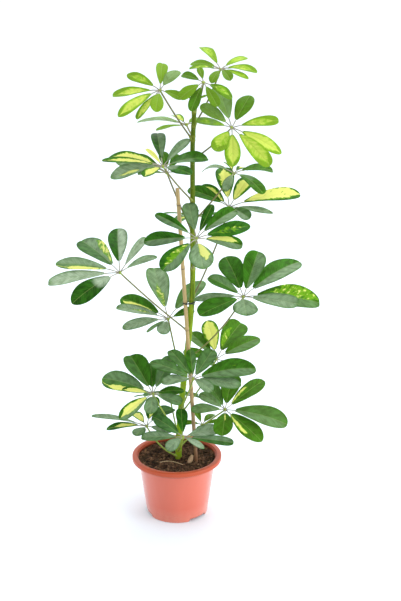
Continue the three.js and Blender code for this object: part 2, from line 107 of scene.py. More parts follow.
def shell(rings, sides_of=None, **values):
    """A closed skin over a stack of rings, an array of (ring, point, xyz). Each quad joins two neighbours
    on one ring to the same two on the next, and a lid closes either end. The sum of (middle of quad) .
    (area of quad), a third of it the volume, turns the faces outwards if it is negative. sides_of gives the
    material of each column of quads; values are named (ring, point, 3) arrays to keep."""
    rows, columns = rings.shape[:2]
    corner = np.arange(rows * columns).reshape(rows, columns)
    beside = np.roll(corner, -1, axis=1)
    quads = np.stack([corner[:-1], beside[:-1], beside[1:], corner[1:]], axis=-1).reshape(-1, 4)
    lids = np.stack([corner[0][::-1], corner[-1]])
    points = rings.reshape(-1, 3)
    a, b, c, d = (points[quads[:, i]] for i in range(4))
    if np.sum((a + b + c + d - 4 * points.mean(0)) * np.cross(c - a, d - b)) < 0:
        quads, lids = quads[:, ::-1], lids[:, ::-1]
    slots = np.tile(np.zeros(columns, int) if sides_of is None else sides_of, rows - 1)
    values = {name: np.broadcast_to(v, (rows, columns, 3)).reshape(-1, 3) for name, v in values.items()}
    return {"points": points, "quads": quads, "lids": lids.tolist(), "slots": slots, "values": values}


def piece(name, skins, materials, node=None):
    """One mesh from closed skins laid end to end, each skin's indices raised by the points before it."""
    faces, slots, start = [], [], 0
    for skin in skins:
        faces += (skin["quads"] + start).tolist() + [[i + start for i in lid] for lid in skin["lids"]]
        slots += skin["slots"].tolist() + [int(skin["slots"][0])] * len(skin["lids"])
        start += len(skin["points"])
    mesh = bpy.data.meshes.new(name)
    mesh.from_pydata((np.concatenate([skin["points"] for skin in skins]) * MM).tolist(), [], faces)
    mesh.polygons.foreach_set("material_index", slots)
    mesh.shade_smooth()
    for key in skins[0]["values"]:
        values = np.concatenate([skin["values"][key] for skin in skins]).astype(np.float32)
        mesh.attributes.new(key, "FLOAT_VECTOR", "POINT").data.foreach_set("vector", values.ravel())
    for material in materials:
        mesh.materials.append(material)
    made = bpy.data.objects.new(name, mesh)
    bpy.context.scene.collection.objects.link(made)
    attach(made, "root")
    if node:
        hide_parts(node)
    return made


# %% [markdown]
# Stalks, stems, canes and wires are tubes. A tube needs two directions across its path that don't spin as
# it bends. Crossing the path's direction with one fixed direction gives them, as long as the path never
# runs along that direction, which holds for every stalk here.

# %% Tubes and soft steps
def unit(vectors):
    """Each vector over its own length."""
    return vectors / np.linalg.norm(vectors, axis=-1, keepdims=True)


def smoothstep(x, low, high):
    """0 below low, 1 above high, and 3 s^2 - 2 s^3 between them."""
    s = np.clip((x - low) / (high - low), 0, 1)
    return s * s * (3 - 2 * s)


def bell(x, width):
    """exp(-(x / width)^2): 1 in the middle, about a third at the width, and nothing far out."""
    return np.exp(-(x / width) ** 2)


def bezier(start, bend, end, s):
    """A quadratic curve: (1 - s)^2 start + 2 s (1 - s) bend + s^2 end."""
    return (1 - s) ** 2 * start + 2 * s * (1 - s) * bend + s ** 2 * end


def circles(path, n, m, radius, sides):
    """Rings round a path: centre + radius (n cos a + m sin a)."""
    angle = directions(sides)
    radius = np.broadcast_to(radius, len(path))[:, None, None]
    round_it = n[:, None] * np.cos(angle)[:, None] + m[:, None] * np.sin(angle)[:, None]
    return path[:, None] + radius * round_it


def tube(path, radius, sides, across=(0.31, 0.9, 0.29), **values):
    """Circles square to a path. n is square to the fixed direction across, and m to n."""
    heading = unit(np.gradient(path, axis=0))
    n = unit(np.cross(heading, np.array(across)))
    return shell(circles(path, n, np.cross(heading, n), radius, sides), **values)


def along_path(path):
    """How far along the path each point is."""
    return np.concatenate([[0], np.cumsum(np.linalg.norm(np.diff(path, axis=0), axis=1))])


def rod_skin(path, radius, sides, **more):
    """A tube with attribute "rod": mm round it as a circle's x and y, and mm along."""
    radii = np.broadcast_to(radius, len(path))[:, None]
    around = turned(radii, directions(sides), along_path(path)[:, None])
    return tube(path, radius, sides, rod=around, **more)


# %% [markdown]
# ## Colour and nodes
# Colours are written as the screen shows them, and one function turns them to the linear light that the
# renderer adds up. One small function adds a node, makes its choices and joins its inputs.
#
# A list fills the inputs in their order. A Map Range takes a value, the range it comes from and the range
# it goes to. A Mix takes the share of its second colour, then both colours. Math and the shaders read the
# same way.

# %% Colour and nodes
def linear(hex_colour):
    """For each channel c of the sRGB colour: c / 12.92 up to 0.04045, else ((c + 0.055) / 1.055)^2.4."""
    c = np.array([int(hex_colour[i:i + 2], 16) for i in (1, 3, 5)]) / 255
    return (*np.where(c <= 0.04045, c / 12.92, ((c + 0.055) / 1.055) ** 2.4).tolist(), 1.0)


def add_node(tree, kind, inputs=(), operation=None, **choices):
    """Adds a node, makes its choices (a Mix always mixes colours), then fills its inputs, by name or in the
    order of those in use: a node is linked by its first output in use, a socket is linked, a colour made
    linear."""
    node = tree.nodes.new("ShaderNode" + kind)
    if kind == "Mix":
        choices["data_type"] = "RGBA"
    if operation:
        choices["operation"] = operation
    for name, value in choices.items():
        setattr(node, name, value)
    in_use = [socket for socket in node.inputs if socket.enabled]
    for key, value in inputs.items() if isinstance(inputs, dict) else zip(in_use, inputs):
        socket = node.inputs[key] if isinstance(key, str) else key
        if isinstance(value, bpy.types.Node):
            value = next(output for output in value.outputs if output.enabled)
        if isinstance(value, bpy.types.NodeSocket):
            tree.links.new(value, socket)
        else:
            socket.default_value = linear(value) if isinstance(value, str) else value
    return node


def new_material(name, *attributes):
    """An empty node material, the function that adds nodes to it, and the vector of each attribute
    named."""
    material = bpy.data.materials.new(name)
    material.use_nodes = True
    material.node_tree.nodes.clear()
    add = partial(add_node, material.node_tree)
    return material, add, *(add("Attribute", attribute_name=key).outputs["Vector"] for key in attributes)


# %% [markdown]
# ## Leaf blades: waxy variegated leaf
# A schefflera leaflet is leathery. A smooth wax layer on top (refractive index about 1.45) gives it soft,
# broad highlights, and light from behind comes through it yellow-green. The top is deep green with paler
# veins. The gold patches are tissue without chlorophyll: they spread from the midrib and end raggedly along
# the side veins, with a halfway green round them. The underside is paler and dull.
#
# The pattern could be painted by hand. Here each blade carries numbers on its points instead: where a point
# is on its blade, how gold it is, how young, and how much painted sheen it has. Noise that is stretched
# along the side veins then breaks up the edge of the gold.

# %% Leaf material
def leaf_blade(name, dark, middle, young, gloss, glow, vein_light):
    """The shader of one face of a blade. Attribute "blade" is (mm along, mm off the midrib, a number for
    the leaflet) and attribute "tint" is (youth, painted sheen, gold field)."""
    material, add, place, tint = new_material(name, "blade", "tint")
    along, beside, number = add("SeparateXYZ", [place]).outputs
    youth, painted_sheen_share, gold_share = add("SeparateXYZ", [tint]).outputs

    # Side veins leave the midrib at about 50 degrees, so mm along less 0.8 mm off stays the same on one.
    off = add("Math", [beside], "ABSOLUTE")
    lean = add("Math", [off, -0.8, along], "MULTIPLY_ADD")
    weave = add("CombineXYZ", [lean, beside, number])

    # Gold edges: noise 6 mm across the side veins and 10 mm along them, and finer noise on top.
    streaks = add("Mapping", {"Vector": weave, "Scale": (0.17, 0.1, 7.0)})
    ragged = add("TexNoise", [streaks, 1, 3, 0.6])
    field = add("Math", [ragged, 1.5, gold_share], "MULTIPLY_ADD")
    halfway = add("MapRange", [field, 0.7, 0.82])
    soft_end = add("MapRange", [youth, 0, 1, 1.08, 1.6])
    gold = add("MapRange", [field, 0.98, soft_end])

    # Blotches in the green, about 9 mm across. Old leaflets are darker, young ones lighter.
    cloud = add("Mapping", {"Vector": weave, "Scale": (0.11, 0.11, 3.0)})
    blotch = add("TexNoise", [cloud, 1, 2])
    depth = add("MapRange", [blotch, 0.35, 0.65])
    green = add("Mix", [depth, dark, middle])
    old = add("MapRange", [youth, -1, 0, 0.3, 1])
    deep = add("VectorMath", [green, old], "MULTIPLY")
    fresh = add("Mix", [youth, deep, young])

    # Midrib 0.7 mm wide, and side veins 5 mm apart that fade out towards the margin.
    rib = add("MapRange", [off, 0.35, 0.9, 1, 0])
    wave = add("Math", [lean, 2 * np.pi / 5], "MULTIPLY")
    crest = add("Math", [wave], "COSINE")
    side_vein = add("MapRange", [crest, 0.9, 1])
    fade = add("MapRange", [off, 2, 14, 0.45, 0])
    faint = add("Math", [side_vein, fade], "MULTIPLY")
    veins = add("Math", [faint, rib], "MAXIMUM")
    vein_share = add("Math", [veins, vein_light], "MULTIPLY")
    veined = add("Mix", [vein_share, fresh, "#A9C46A"])

    # Halfway green, then gold: cream on a grown leaf and lime-yellow on a young one.
    half_green = add("Mix", [youth, "#6FA81E", "#A9D23A"])
    ring = add("Mix", [halfway, veined, half_green])
    pale = add("Mix", [youth, "#EFEF8C", "#C6DC52"])
    splashed = add("Mix", [gold, ring, pale])

    # Painted sheen: the reflection of the bright surroundings is painted into parts of a leaflet as silver,
    # in soft clouds with faint stripes along the side veins.
    cloudy = add("MapRange", [blotch, 0.32, 0.62, 0.62, 1.05])
    striped = add("Math", [crest, -0.07, cloudy], "MULTIPLY_ADD")
    clear = add("MapRange", [halfway, 0, 1, 1, 0.3])
    sheen_clouds = add("Math", [clear, striped], "MULTIPLY")
    silver = add("Math", [painted_sheen_share, sheen_clouds], "MULTIPLY")
    colour = add("Mix", [silver, splashed, "#B9CBB1"])

    # The blade is quilted between its side veins by about 0.15 mm.
    quilt = add("Math", [crest, -0.5, blotch], "MULTIPLY_ADD")
    relief = add("Bump", {"Height": quilt, "Strength": 0.35, "Distance": 0.0004})
    dull = add("MapRange", [blotch, 0, 1, gloss - 0.06, gloss + 0.08])
    wax = add("BsdfPrincipled", {"Base Color": colour, "Roughness": dull, "IOR": 1.45,
                                 "Specular IOR Level": 0.07, "Normal": relief})
    through = add("BsdfTranslucent", [colour, relief])
    add("OutputMaterial", [add("MixShader", [glow, wax, through])])
    return material


blade_top = leaf_blade("waxy_leaf_top", "#2A5C14", "#3D8020", "#98C032",
                       gloss=0.34, glow=0.3, vein_light=0.3)
blade_under = leaf_blade("dull_leaf_underside", "#5E8A4C", "#729C5E", "#A6CE55",
                         gloss=0.6, glow=0.35, vein_light=0.8)
print("nodes in the leaf's material:", len(blade_top.node_tree.nodes))

# %% [markdown]
# ## Stalks: smooth green bark
# The long leaf stalks are smooth and round. Near the ground they are yellow-green, and higher up the sun
# has turned them olive-brown. The thin stalks of the leaflets are paler and faintly purple. One material
# can be all of these, because each point's tint says which it is, and the changes stay gradual.

# %% Stalk material
leaf_stalk, add, place, tint = new_material("smooth_leaf_stalk", "blade", "tint")
greenness, thinness, _ = add("SeparateXYZ", [tint]).outputs
sunned = add("Mix", [greenness, "#6B5C3E", "#8DA03A"])
thin = add("Mix", [thinness, sunned, "#A39A93"])
# Flecks 8 mm long, different on each stalk.
stretched = add("Mapping", {"Vector": place, "Scale": (0.12, 1.0, 5.0)})
flecks = add("TexNoise", [stretched, 1, 3])
shade = add("MapRange", [flecks, 0.3, 0.7, 0.75, 1.15])
stalk_colour = add("VectorMath", [thin, shade], "MULTIPLY")
bark = add("BsdfPrincipled", {"Base Color": stalk_colour, "Roughness": 0.45, "IOR": 1.45})
add("OutputMaterial", [bark])

# %% [markdown]
# ## The leaves
# The table is the plant: where each leaf's stalk leaves the stem ("joint"), where its hub is, how the
# umbrella tilts and which way it faces, and the direction and length of every leaflet, and its width where
# that isn't the usual. Direction 0 is to the right, 90 away and up, 270 towards the viewer. Leaflets leave
# the hub at the angle "rise" and bend down by "droop". "bow" bends the long stalk, and "neck" is the share
# of a leaflet that is its own thin stalk. USUAL is what a leaf has where its row doesn't say otherwise.
#
# The rest is only colour. "youth" goes from 0, deep green, to 1, lime, and below 0 a leaflet is darker
# still. "gold" gives a leaflet's patch as [middle, half width, start, end], the first two in half widths of
# the blade and the others along it, and then its purity, if that isn't the usual 0.6: at 0 it is lime with
# flecks of gold. The next key gives the painted sheen, a reflection of the bright surroundings painted into
# the colour, of a leaflet's left and right half, seen from the hub, and where along the blade it ends, if
# it does. "ages" gives single leaflets another youth.

# %% Leaf table
USUAL = dict(faces=270, rise=14, droop=30, neck=0.17, bow=[0, 0, -6], youth=0.05,
             gold={}, silver={}, ages={})
LEAVES = {
    "shoot_tip": dict(joint=778, hub=[35, -4, 794], tilt=15, rise=40, droop=35, bow=[0, 0, 0], youth=0.55,
        blades=[[168, 36], [15, 24], [80, 28], [262, 22]]),
    "crown_right": dict(joint=750, hub=[80, 20, 846], tilt=20, rise=19, droop=40, bow=[4, 0, -8],
        youth=0.75, blades=[[116, 75, 0.85], [148, 64, 0.85], [188, 56, 0.85], [246, 44, 1.1],
            [293, 46, 1.1], [328, 56, 0.85], [351, 66, 0.85], [42, 66, 0.85]],
        gold={351: [0, 0.7, 0.1, 0.9, 0.4], 188: [0, 0.6, 0.2, 0.9, 0.3], 116: [0, 0.6, 0.3, 1, 0.35],
            42: [0, 0.7, 0.2, 1, 0.4], 328: [0, 0.6, 0.2, 1, 0.3]},
        ages={246: 0.45, 293: 0.5, 188: 0.5, 148: 0.55}),
    "crown_mid": dict(joint=774, hub=[50, -35, 833], tilt=45, rise=10, droop=40, bow=[4, 0, -4], youth=0.35,
        blades=[[101, 34], [148, 48], [216, 52, 1.2], [248, 56], [295, 54], [338, 58]],
        gold={338: [0.1, 0.6, 0.2, 0.9, 0.2]},
        ages={338: 0.45, 216: 0.45}),
    "crown_left": dict(joint=725, hub=[-25, -10, 815], tilt=35, youth=0.65,
        blades=[[57, 58, 1.2], [87, 68, 0.9], [147, 70, 0.85], [187, 83, 0.85], [222, 97, 0.65],
            [240, 74, 0.6], [262, 56, 1.2], [340, 42, 1.2]],
        gold={187: [0, 0.7, 0.1, 0.9], 222: [0, 0.8, 0.1, 1, 0.7], 240: [0, 0.8, 0.1, 1],
            147: [0, 0.6, 0.2, 0.9, 0.3]},
        silver={57: [0.3, 0.3]},
        ages={57: 0.5}),
    "crown_back": dict(joint=732, hub=[20, 50, 742], tilt=8, bow=[0, 0, -4], youth=0.5,
        blades=[[10, 46], [60, 50], [120, 55], [150, 80, 0.7], [172, 92, 0.5], [205, 60, 0.8]],
        gold={10: [0, 0.7, 0.1, 1], 120: [0, 0.7, 0, 1]},
        silver={150: [0.5, 0.5], 172: [0.6, 0.6]}),
    "high_right": dict(joint=690, hub=[99, -40, 756], tilt=45, youth=0.75,
        blades=[[240, 60, 1.4], [271, 74, 1.1], [307, 106, 0.75], [332, 98, 0.8], [8, 82, 0.7],
            [64, 80, 1.1], [108, 86, 1.15], [135, 74, 0.9], [170, 64, 0.75]],
        gold={332: [0, 0.95, 0, 1, 0.8], 307: [0.1, 0.9, 0, 1], 271: [0.1, 0.85, 0, 1, 0.8],
            8: [0, 0.7, 0.1, 0.9, 0.5], 240: [-0.1, 0.9, 0, 0.9, 0.4], 170: [0, 0.5, 0, 1, 0.1]},
        silver={108: [0.2, 0.3], 170: [0.15, 0.15], 135: [0.15, 0.2]},
        ages={64: 0.3, 108: 0.5, 240: 0.6, 135: 0.55, 170: 0.6}),
    "high_left": dict(joint=615, hub=[-20, -54, 691], tilt=20, rise=16, neck=0.13,
        blades=[[325, 60, 1.5], [26, 86], [56, 86, 0.68], [98, 130, 0.56], [122, 54, 0.5], [157, 110, 0.8],
            [182, 106, 0.5], [193, 94, 1], [234, 54, 1.2]],
        gold={122: [0, 1.4, -1, 1.2], 157: [0, 0.75, 0, 1], 182: [0, 0.6, 0, 0.95], 234: [0, 0.8, 0, 1],
            193: [0.4, 0.3, 0.3, 0.9]},
        silver={56: [0.4, 0.6], 98: [0, 0.3], 193: [0.6, 0.7], 325: [0.6, 0.5, 0.4], 26: [0.1, 0.4, 0.6]},
        ages={98: -0.3, 325: -0.1}),
    "high_left_back": dict(joint=555, hub=[-15, 25, 660], tilt=20, rise=26, youth=0.15,
        blades=[[345, 42], [62, 50], [100, 55], [150, 75], [176, 95], [200, 55]],
        silver={176: [0.5, 0.5], 200: [0.5, 0.5]}),
    "mid_right": dict(joint=430, hub=[97, 20, 598], tilt=30, rise=16, bow=[6, 0, -8],
        blades=[[318, 50, 1.3], [350, 80, 0.6], [12, 132, 0.65], [62, 88], [98, 100], [130, 75], [152, 88]],
        gold={98: [0, 0.7, -0.2, 1], 62: [0, 0.75, -0.2, 1], 12: [0.25, 0.85, 0, 1.1, 0.55],
            130: [0.1, 0.7, 0, 1, 0.5]},
        silver={350: [0.5, 0.6], 318: [0.2, 0.6]}),
    "mid_right_back": dict(joint=575, hub=[105, 40, 655], tilt=15, rise=20, droop=62, youth=0.1,
        blades=[[306, 86, 0.85], [250, 48, 1.1], [12, 76], [60, 55], [105, 50], [138, 85, 0.5]],
        gold={60: [0, 0.5, 0.2, 1], 105: [0, 0.5, 0, 1]},
        silver={138: [0.6, 0.6], 250: [0.6, 0.6], 306: [0.3, 0, 0.5]}),
    "mid_front": dict(joint=487, hub=[38, -75, 568], tilt=40,
        blades=[[280, 66, 1.9], [353, 82, 0.85], [12, 98, 0.95], [46, 98, 0.8], [65, 74, 0.7],
            [102, 86, 0.95], [146, 86, 0.65], [181, 95, 0.9], [230, 94, 1.1]],
        gold={353: [0.4, 0.45, 0, 0.95], 280: [0.4, 0.45, -0.1, 0.8], 230: [-0.2, 0.35, 0, 1, 0.15],
            12: [-0.1, 0.4, 0.2, 0.95, 0.05]},
        silver={280: [0.5, 0.5], 46: [0, 0.5], 353: [0, 0.45], 102: [0.35, 0.35], 230: [0.35, 0],
            181: [0.35, 0], 146: [0.3, 0]},
        ages={230: -0.1, 12: 0, 65: -0.3, 181: -0.15, 146: -0.1}),
    "mid_left": dict(joint=365, hub=[-100, -20, 487], tilt=30,
        blades=[[33, 78, 0.6], [62, 100, 0.5], [96, 114, 0.92], [131, 110, 1.2], [170, 122, 0.65],
            [190, 132, 0.7], [222, 112, 1]],
        gold={170: [0.7, 0.35, 0, 0.9], 131: [-0.75, 0.4, -0.1, 0.85, 0.25]},
        silver={96: [0, 0.95], 62: [0.8, 0.9], 33: [0.6, 0.6], 190: [0.9, 0.9], 170: [0.3, 0.55],
            222: [0.9, 0.9, 0.4], 131: [0.15, 0.5]},
        ages={96: -0.25, 222: -0.4, 131: -0.1}),
    "mid_left_back": dict(joint=260, hub=[-15, 30, 380], tilt=30, bow=[0, 0, -10],
        blades=[[20, 52], [58, 128, 0.85], [105, 124], [146, 110, 0.9], [168, 102, 0.65], [190, 88, 0.75],
            [222, 52, 0.45], [250, 38, 1.9]],
        gold={105: [0.2, 0.45, -0.1, 0.62, 0.25], 146: [0.4, 0.35, 0.1, 1], 168: [0, 0.3, 0.2, 0.7, 0.2]},
        silver={105: [0.5, 0.6], 168: [0.7, 0.7], 190: [0.65, 0.65], 222: [0.3, 0.3], 250: [0.7, 0.7],
            58: [0.15, 0.3]},
        ages={105: 0.1, 58: 0.15}),
    "mid_far_right": dict(joint=310, hub=[123, -20, 441], tilt=30, droop=25, neck=0.13, bow=[12, 0, -14],
        blades=[[272, 52, 2.4], [1, 142, 1], [340, 105, 0.9], [45, 150, 0.85], [72, 102, 1.1],
            [107, 116, 1.05], [149, 75, 1.1], [180, 92, 0.5], [215, 98, 1.2]],
        gold={1: [0.5, 0.5, 0.2, 1.1, 0.16]},
        silver={340: [0.5, 0.55], 272: [0.5, 0.5], 45: [0, 0.5], 72: [0, 0.35], 180: [0.5, 0.5],
            1: [0, 0.2], 149: [0, 0.25]},
        ages={1: 0.08}),
    "low_right_back": dict(joint=200, hub=[75, 40, 295], tilt=30, bow=[4, 0, -8], youth=0.15,
        blades=[[290, 45], [340, 65], [30, 98, 1.15], [64, 108, 1.2], [99, 94], [127, 88], [165, 65],
            [215, 42]],
        gold={99: [0, 0.85, -0.2, 1.1], 64: [0.4, 0.3, 0, 0.8, 0.2]},
        silver={30: [0, 0.2], 127: [0.2, 0]}),
    "low_front": dict(joint=210, hub=[32, -75, 303], tilt=30, neck=0.09,
        blades=[[322, 46, 1.3], [350, 88, 0.85], [14, 118, 0.95], [60, 78, 1.05], [97, 71, 0.7],
            [121, 80, 0.85], [155, 90, 0.72], [186, 58, 1.1]],
        gold={14: [0.4, 0.15, 0.5, 0.8]},
        silver={350: [0.45, 0.45], 322: [0.5, 0.5], 186: [0.5, 0.5], 60: [0.15, 0.2], 14: [0, 0.3],
            97: [0, 0.15], 121: [0.15, 0.1], 155: [0.2, 0.15]}),
    "low_left": dict(joint=155, hub=[-42, -60, 267], tilt=30, neck=0.14,
        blades=[[334, 60], [14, 60], [66, 86], [94, 82], [119, 96, 1.3], [154, 106, 1.12], [174, 58, 0.7],
            [220, 80, 0.9], [268, 46, 1.6]],
        gold={154: [0.7, 0.3, 0, 0.9], 174: [0, 0.8, 0, 1], 220: [-0.1, 0.65, -0.1, 1]},
        silver={268: [0.4, 0.4], 334: [0.3, 0.3], 154: [0.1, 0.3], 119: [0.1, 0], 66: [0.3, 0.2],
            220: [0.4, 0]}),
    "base_left": dict(joint=112, hub=[-56, -20, 184], tilt=12, rise=16, bow=[-5, -14, -14], youth=0,
        blades=[[328, 54, 1.3], [56, 82], [79, 82], [121, 58], [172, 106, 0.42], [180, 78, 0.75],
            [244, 44, 1.6]],
        gold={180: [0, 0.6, 0, 0.8], 121: [0, 0.8, 0, 1], 79: [-0.4, 0.5, 0, 1]},
        silver={172: [0.6, 0.6], 244: [0.2, 0.4], 328: [0.4, 0.5], 56: [0.15, 0.1]}),
    "base_front": dict(joint=124, hub=[13, -68, 184], tilt=35, rise=12, droop=25, neck=0.13, youth=0,
        blades=[[330, 46, 0.8], [352, 94, 0.55], [14, 76], [94, 62], [142, 70], [180, 78, 0.8],
            [222, 42, 1.5]],
        silver={222: [0.6, 0.6], 180: [0.3, 0.5], 14: [0.6, 0.7], 330: [0.8, 0.8], 352: [0.4, 0.1],
            142: [0.15, 0.1]}),
    "base_right": dict(joint=141, hub=[91, -30, 222], tilt=30, neck=0.12, bow=[0, 16, -6], youth=0.15,
        blades=[[266, 62, 1.6], [313, 95, 1.1], [345, 121, 0.92], [42, 104, 0.85], [80, 84, 1.2], [115, 72],
            [144, 62], [178, 64]],
        gold={42: [0.6, 0.25, -0.1, 0.7], 313: [-0.6, 0.25, -0.1, 0.8], 266: [0.1, 0.2, 0, 0.5]},
        silver={345: [0.1, 0.25], 144: [0.35, 0.3], 178: [0.3, 0.3], 115: [0.1, 0.1]}),
    "base_small": dict(joint=132, hub=[48, 30, 164], tilt=12, rise=19, bow=[0, 0, -4], youth=0.3,
        blades=[[0, 40], [60, 45], [110, 40], [170, 40], [250, 25]]),
    "back_mid": dict(joint=505, hub=[35, 95, 560], tilt=25, faces=90,
        blades=[[10, 62], [50, 68], [90, 70], [130, 66], [170, 62], [220, 45], [270, 40], [320, 44]],
        gold={90: [0, 0.4, 0, 0.8], 130: [0.3, 0.3, 0, 0.7]}),
    "back_low": dict(joint=235, hub=[15, 100, 262], tilt=25, faces=90, youth=0,
        blades=[[325, 55], [15, 62], [52, 88], [90, 92], [128, 68], [165, 58], [215, 56], [270, 50]],
        gold={52: [0, 0.4, 0, 0.7], 128: [-0.3, 0.3, 0, 0.9]}),
    "back_base": dict(joint=148, hub=[-15, 85, 200], tilt=25, faces=90, youth=0,
        blades=[[228, 50], [270, 36], [318, 46], [5, 66], [48, 76], [90, 80], [135, 76], [175, 70]],
        gold={48: [0, 0.3, 0, 0.7]}),
}
LEAVES = {name: SimpleNamespace(**USUAL | leaf, number=number)
          for number, (name, leaf) in enumerate(LEAVES.items())}
print("leaves:", len(LEAVES), "leaflets:", sum(len(leaf.blades) for leaf in LEAVES.values()))

# %% [markdown]
# ## Stem line
# The stem sweeps to the right on its way up to the tie, and a little more at the top. Every leaf stalk
# starts on this line, so it comes before the leaves.

# %% Stem line
STEM_FOOT, SOIL_TOP, STEM_TOP = 60, 107, 788


def stem_centre(height):
    """3 mm off the pot's axis at the soil, 28 mm further right by 485 mm and 3 mm more by the top."""
    x = 3 + 28 * smoothstep(height, SOIL_TOP, 485) + 3 * smoothstep(height, 700, STEM_TOP)
    return xyz(x, 0.0, height)


def stem_radius(height):
    """6 mm at the soil, falling evenly to 4 mm at the top."""
    return 6 - 2 * np.maximum(0, height - SOIL_TOP) / (STEM_TOP - SOIL_TOP)


print("stem:", STEM_TOP - SOIL_TOP, "mm tall, ending", stem_centre(STEM_TOP)[0], "mm to the right")

# %% [markdown]
# ## One leaflet
# The midrib is an arc: it leaves the hub at an angle and bends down evenly. The blade is an egg shape with
# its broad end out, u^0.95 (1 - u)^tip, folded up a little along the midrib. On top of the plain solid come
# a groove over the midrib, a slow wave along the margins, and a slight curl of the edges.
#
# A flat sheet with a Solidify modifier would also do. A stack of thin lens-shaped rings is closed from the
# start, and its top and bottom halves take their own materials.

# %% Midrib
HABITS = {"droop": 2, "roll": 3, "swerve": 4, "wave": 5, "curl": 6, "youth": 7, "tip": 8}


def vary(leaflet, habit):
    """A fixed number from -1 to 1 that differs from leaf to leaf, leaflet to leaflet and habit to habit."""
    return np.sin(1.7 * leaflet.number + 2.9 * leaflet.index + 4.3 * HABITS[habit])


def umbrella(leaf):
    """The umbrella's own directions: up its axis, to the right, and away."""
    tilt = np.radians(leaf.tilt)
    up = turned(np.sin(tilt), np.radians(leaf.faces), np.cos(tilt))
    right = unit(np.array([1, 0, 0]) - up * up[0])
    return up, right, np.cross(up, right)


def midrib(leaflet, t):
    """Points, sideways and upward directions of a leaflet's middle line at shares t of its length: an arc
    whose slope is rise - droop t, swerving sideways by t^2 and rolling evenly. Every other leaflet rises by
    4 degrees more, and the ones between by 4 less."""
    up, right, away = umbrella(leaflet)
    direction, length = np.radians(leaflet.direction), leaflet.length
    out = right * np.cos(direction) + away * np.sin(direction)
    side = np.cross(up, out)
    rise = np.radians(leaflet.rise + (-4 if leaflet.index % 2 else 4))
    droop = np.radians(leaflet.droop + 8 * vary(leaflet, "droop"))
    roll = np.radians(12 * vary(leaflet, "roll")) * t[:, None]
    slope = (rise - droop * t)[:, None]
    swerve = 0.04 * length * vary(leaflet, "swerve") * t[:, None] ** 2
    points = (np.array(leaflet.hub) + out * length * (np.sin(rise) - np.sin(slope)) / droop
              + up * length * (np.cos(slope) - np.cos(rise)) / droop + side * swerve)
    normal = up * np.cos(slope) - out * np.sin(slope)
    edge = side * np.cos(roll) + normal * np.sin(roll)
    face = normal * np.cos(roll) - side * np.sin(roll)
    return points, edge, face


# %% [markdown]
# The blade's ring is a thin lens: 17 points across its top, from edge to edge, and 15 back along its
# underside, closer together by the midrib, where the groove is.

# %% Blade
HALF_RING = np.array([0.06, 0.17, 0.34, 0.52, 0.7, 0.86, 0.97])
TOP_SIDE = np.concatenate([-HALF_RING[::-1], [0], HALF_RING])
ACROSS = np.concatenate([[-1], TOP_SIDE, [1], TOP_SIDE[::-1]])
THROUGH = np.concatenate([[0], np.ones(15), [0], -np.ones(15)])
TOP, UNDER, STALK = 0, 1, 2
RING_SLOTS = np.where(np.arange(32) < 16, TOP, UNDER)
# A blade's usual width over its length, and the mm from its middle to either face at the midrib.
BLADE_WIDTH, HALF_THICK = 0.42, 0.42


def outline(u, tip):
    """Share of the greatest half width at share u of the blade: u^0.95 (1 - u)^tip over its maximum."""
    widest = 0.95 / (0.95 + tip)
    return (u / widest) ** 0.95 * ((1 - u) / (1 - widest)) ** tip


def blade(leaflet, u):
    """The thin blade at shares u of its length: rings of (across, thickness) set on the midrib, with fold,
    groove, wave and curl."""
    widest = leaflet.width * BLADE_WIDTH * leaflet.length * (1 - leaflet.neck) / 2
    points, edge, face = midrib(leaflet, leaflet.neck + (1 - leaflet.neck) * u)
    half = np.maximum(0.7, widest * outline(u, 0.5 + 0.1 * vary(leaflet, "tip")))[:, None]
    across = ACROSS * half
    phase = 3 * vary(leaflet, "wave")
    fold = 0.16 * (np.sqrt(across ** 2 + 1) - 1)
    groove = -0.45 * bell(across, 0.8)
    margin = ACROSS ** 2 * (half / widest)
    wave = 0.045 * widest * margin * np.sin(9 * u[:, None] + phase + np.sign(ACROSS))
    curl = 0.1 * vary(leaflet, "curl") * half * ACROSS ** 4
    thickness = HALF_THICK * (1 - 0.5 * ACROSS ** 2) * THROUGH
    height = fold + groove + wave + curl + thickness
    return points[:, None] + edge[:, None] * across[..., None] + face[:, None] * height[..., None], across


# %% [markdown]
# A leaflet's colours are numbers on its points, which its material reads: how young it is, how much
# painted sheen each half has, and how far inside a gold patch a point lies.

# %% Leaflet colours
def gold_field(patch, u):
    """How far inside its gold patch a point is: 1.6 times its share of the way in from the patch's edge,
    less than 0 outside, and no more than the patch's purity, 0.6 if it isn't given. The patch narrows
    smoothly to nothing at both ends."""
    middle, half_width, start, end, *purity = patch
    window = smoothstep(u, start, start + 0.2) * (1 - smoothstep(u, end - 0.35, end))
    inside = 1 - np.abs(ACROSS - middle) / (half_width * window + 0.02)
    return np.clip(1.6 * inside, -1, purity[0] if purity else 0.6)


def painted_sheen_field(sheen, u):
    """The painted sheen of both halves of a blade, a reflection painted into its colour, weaker by its edge
    and tip, and up to its end if it has one.
    """
    left, right, *end = sheen
    silver = left + (right - left) * smoothstep(-ACROSS, -0.1, 0.1)
    silver = silver * (1 - 0.7 * smoothstep(np.abs(ACROSS), 0.72, 1)) * (1 - 0.7 * smoothstep(u, 0.86, 1))
    if end:
        silver = silver * (1 - smoothstep(u + 0.1 * ACROSS ** 2, end[0] - 0.06, end[0] + 0.06))
    return silver


# %% [markdown]
# The thin stalk of a leaflet is a tube that thins out and sinks into the blade, where it shows as a rib.

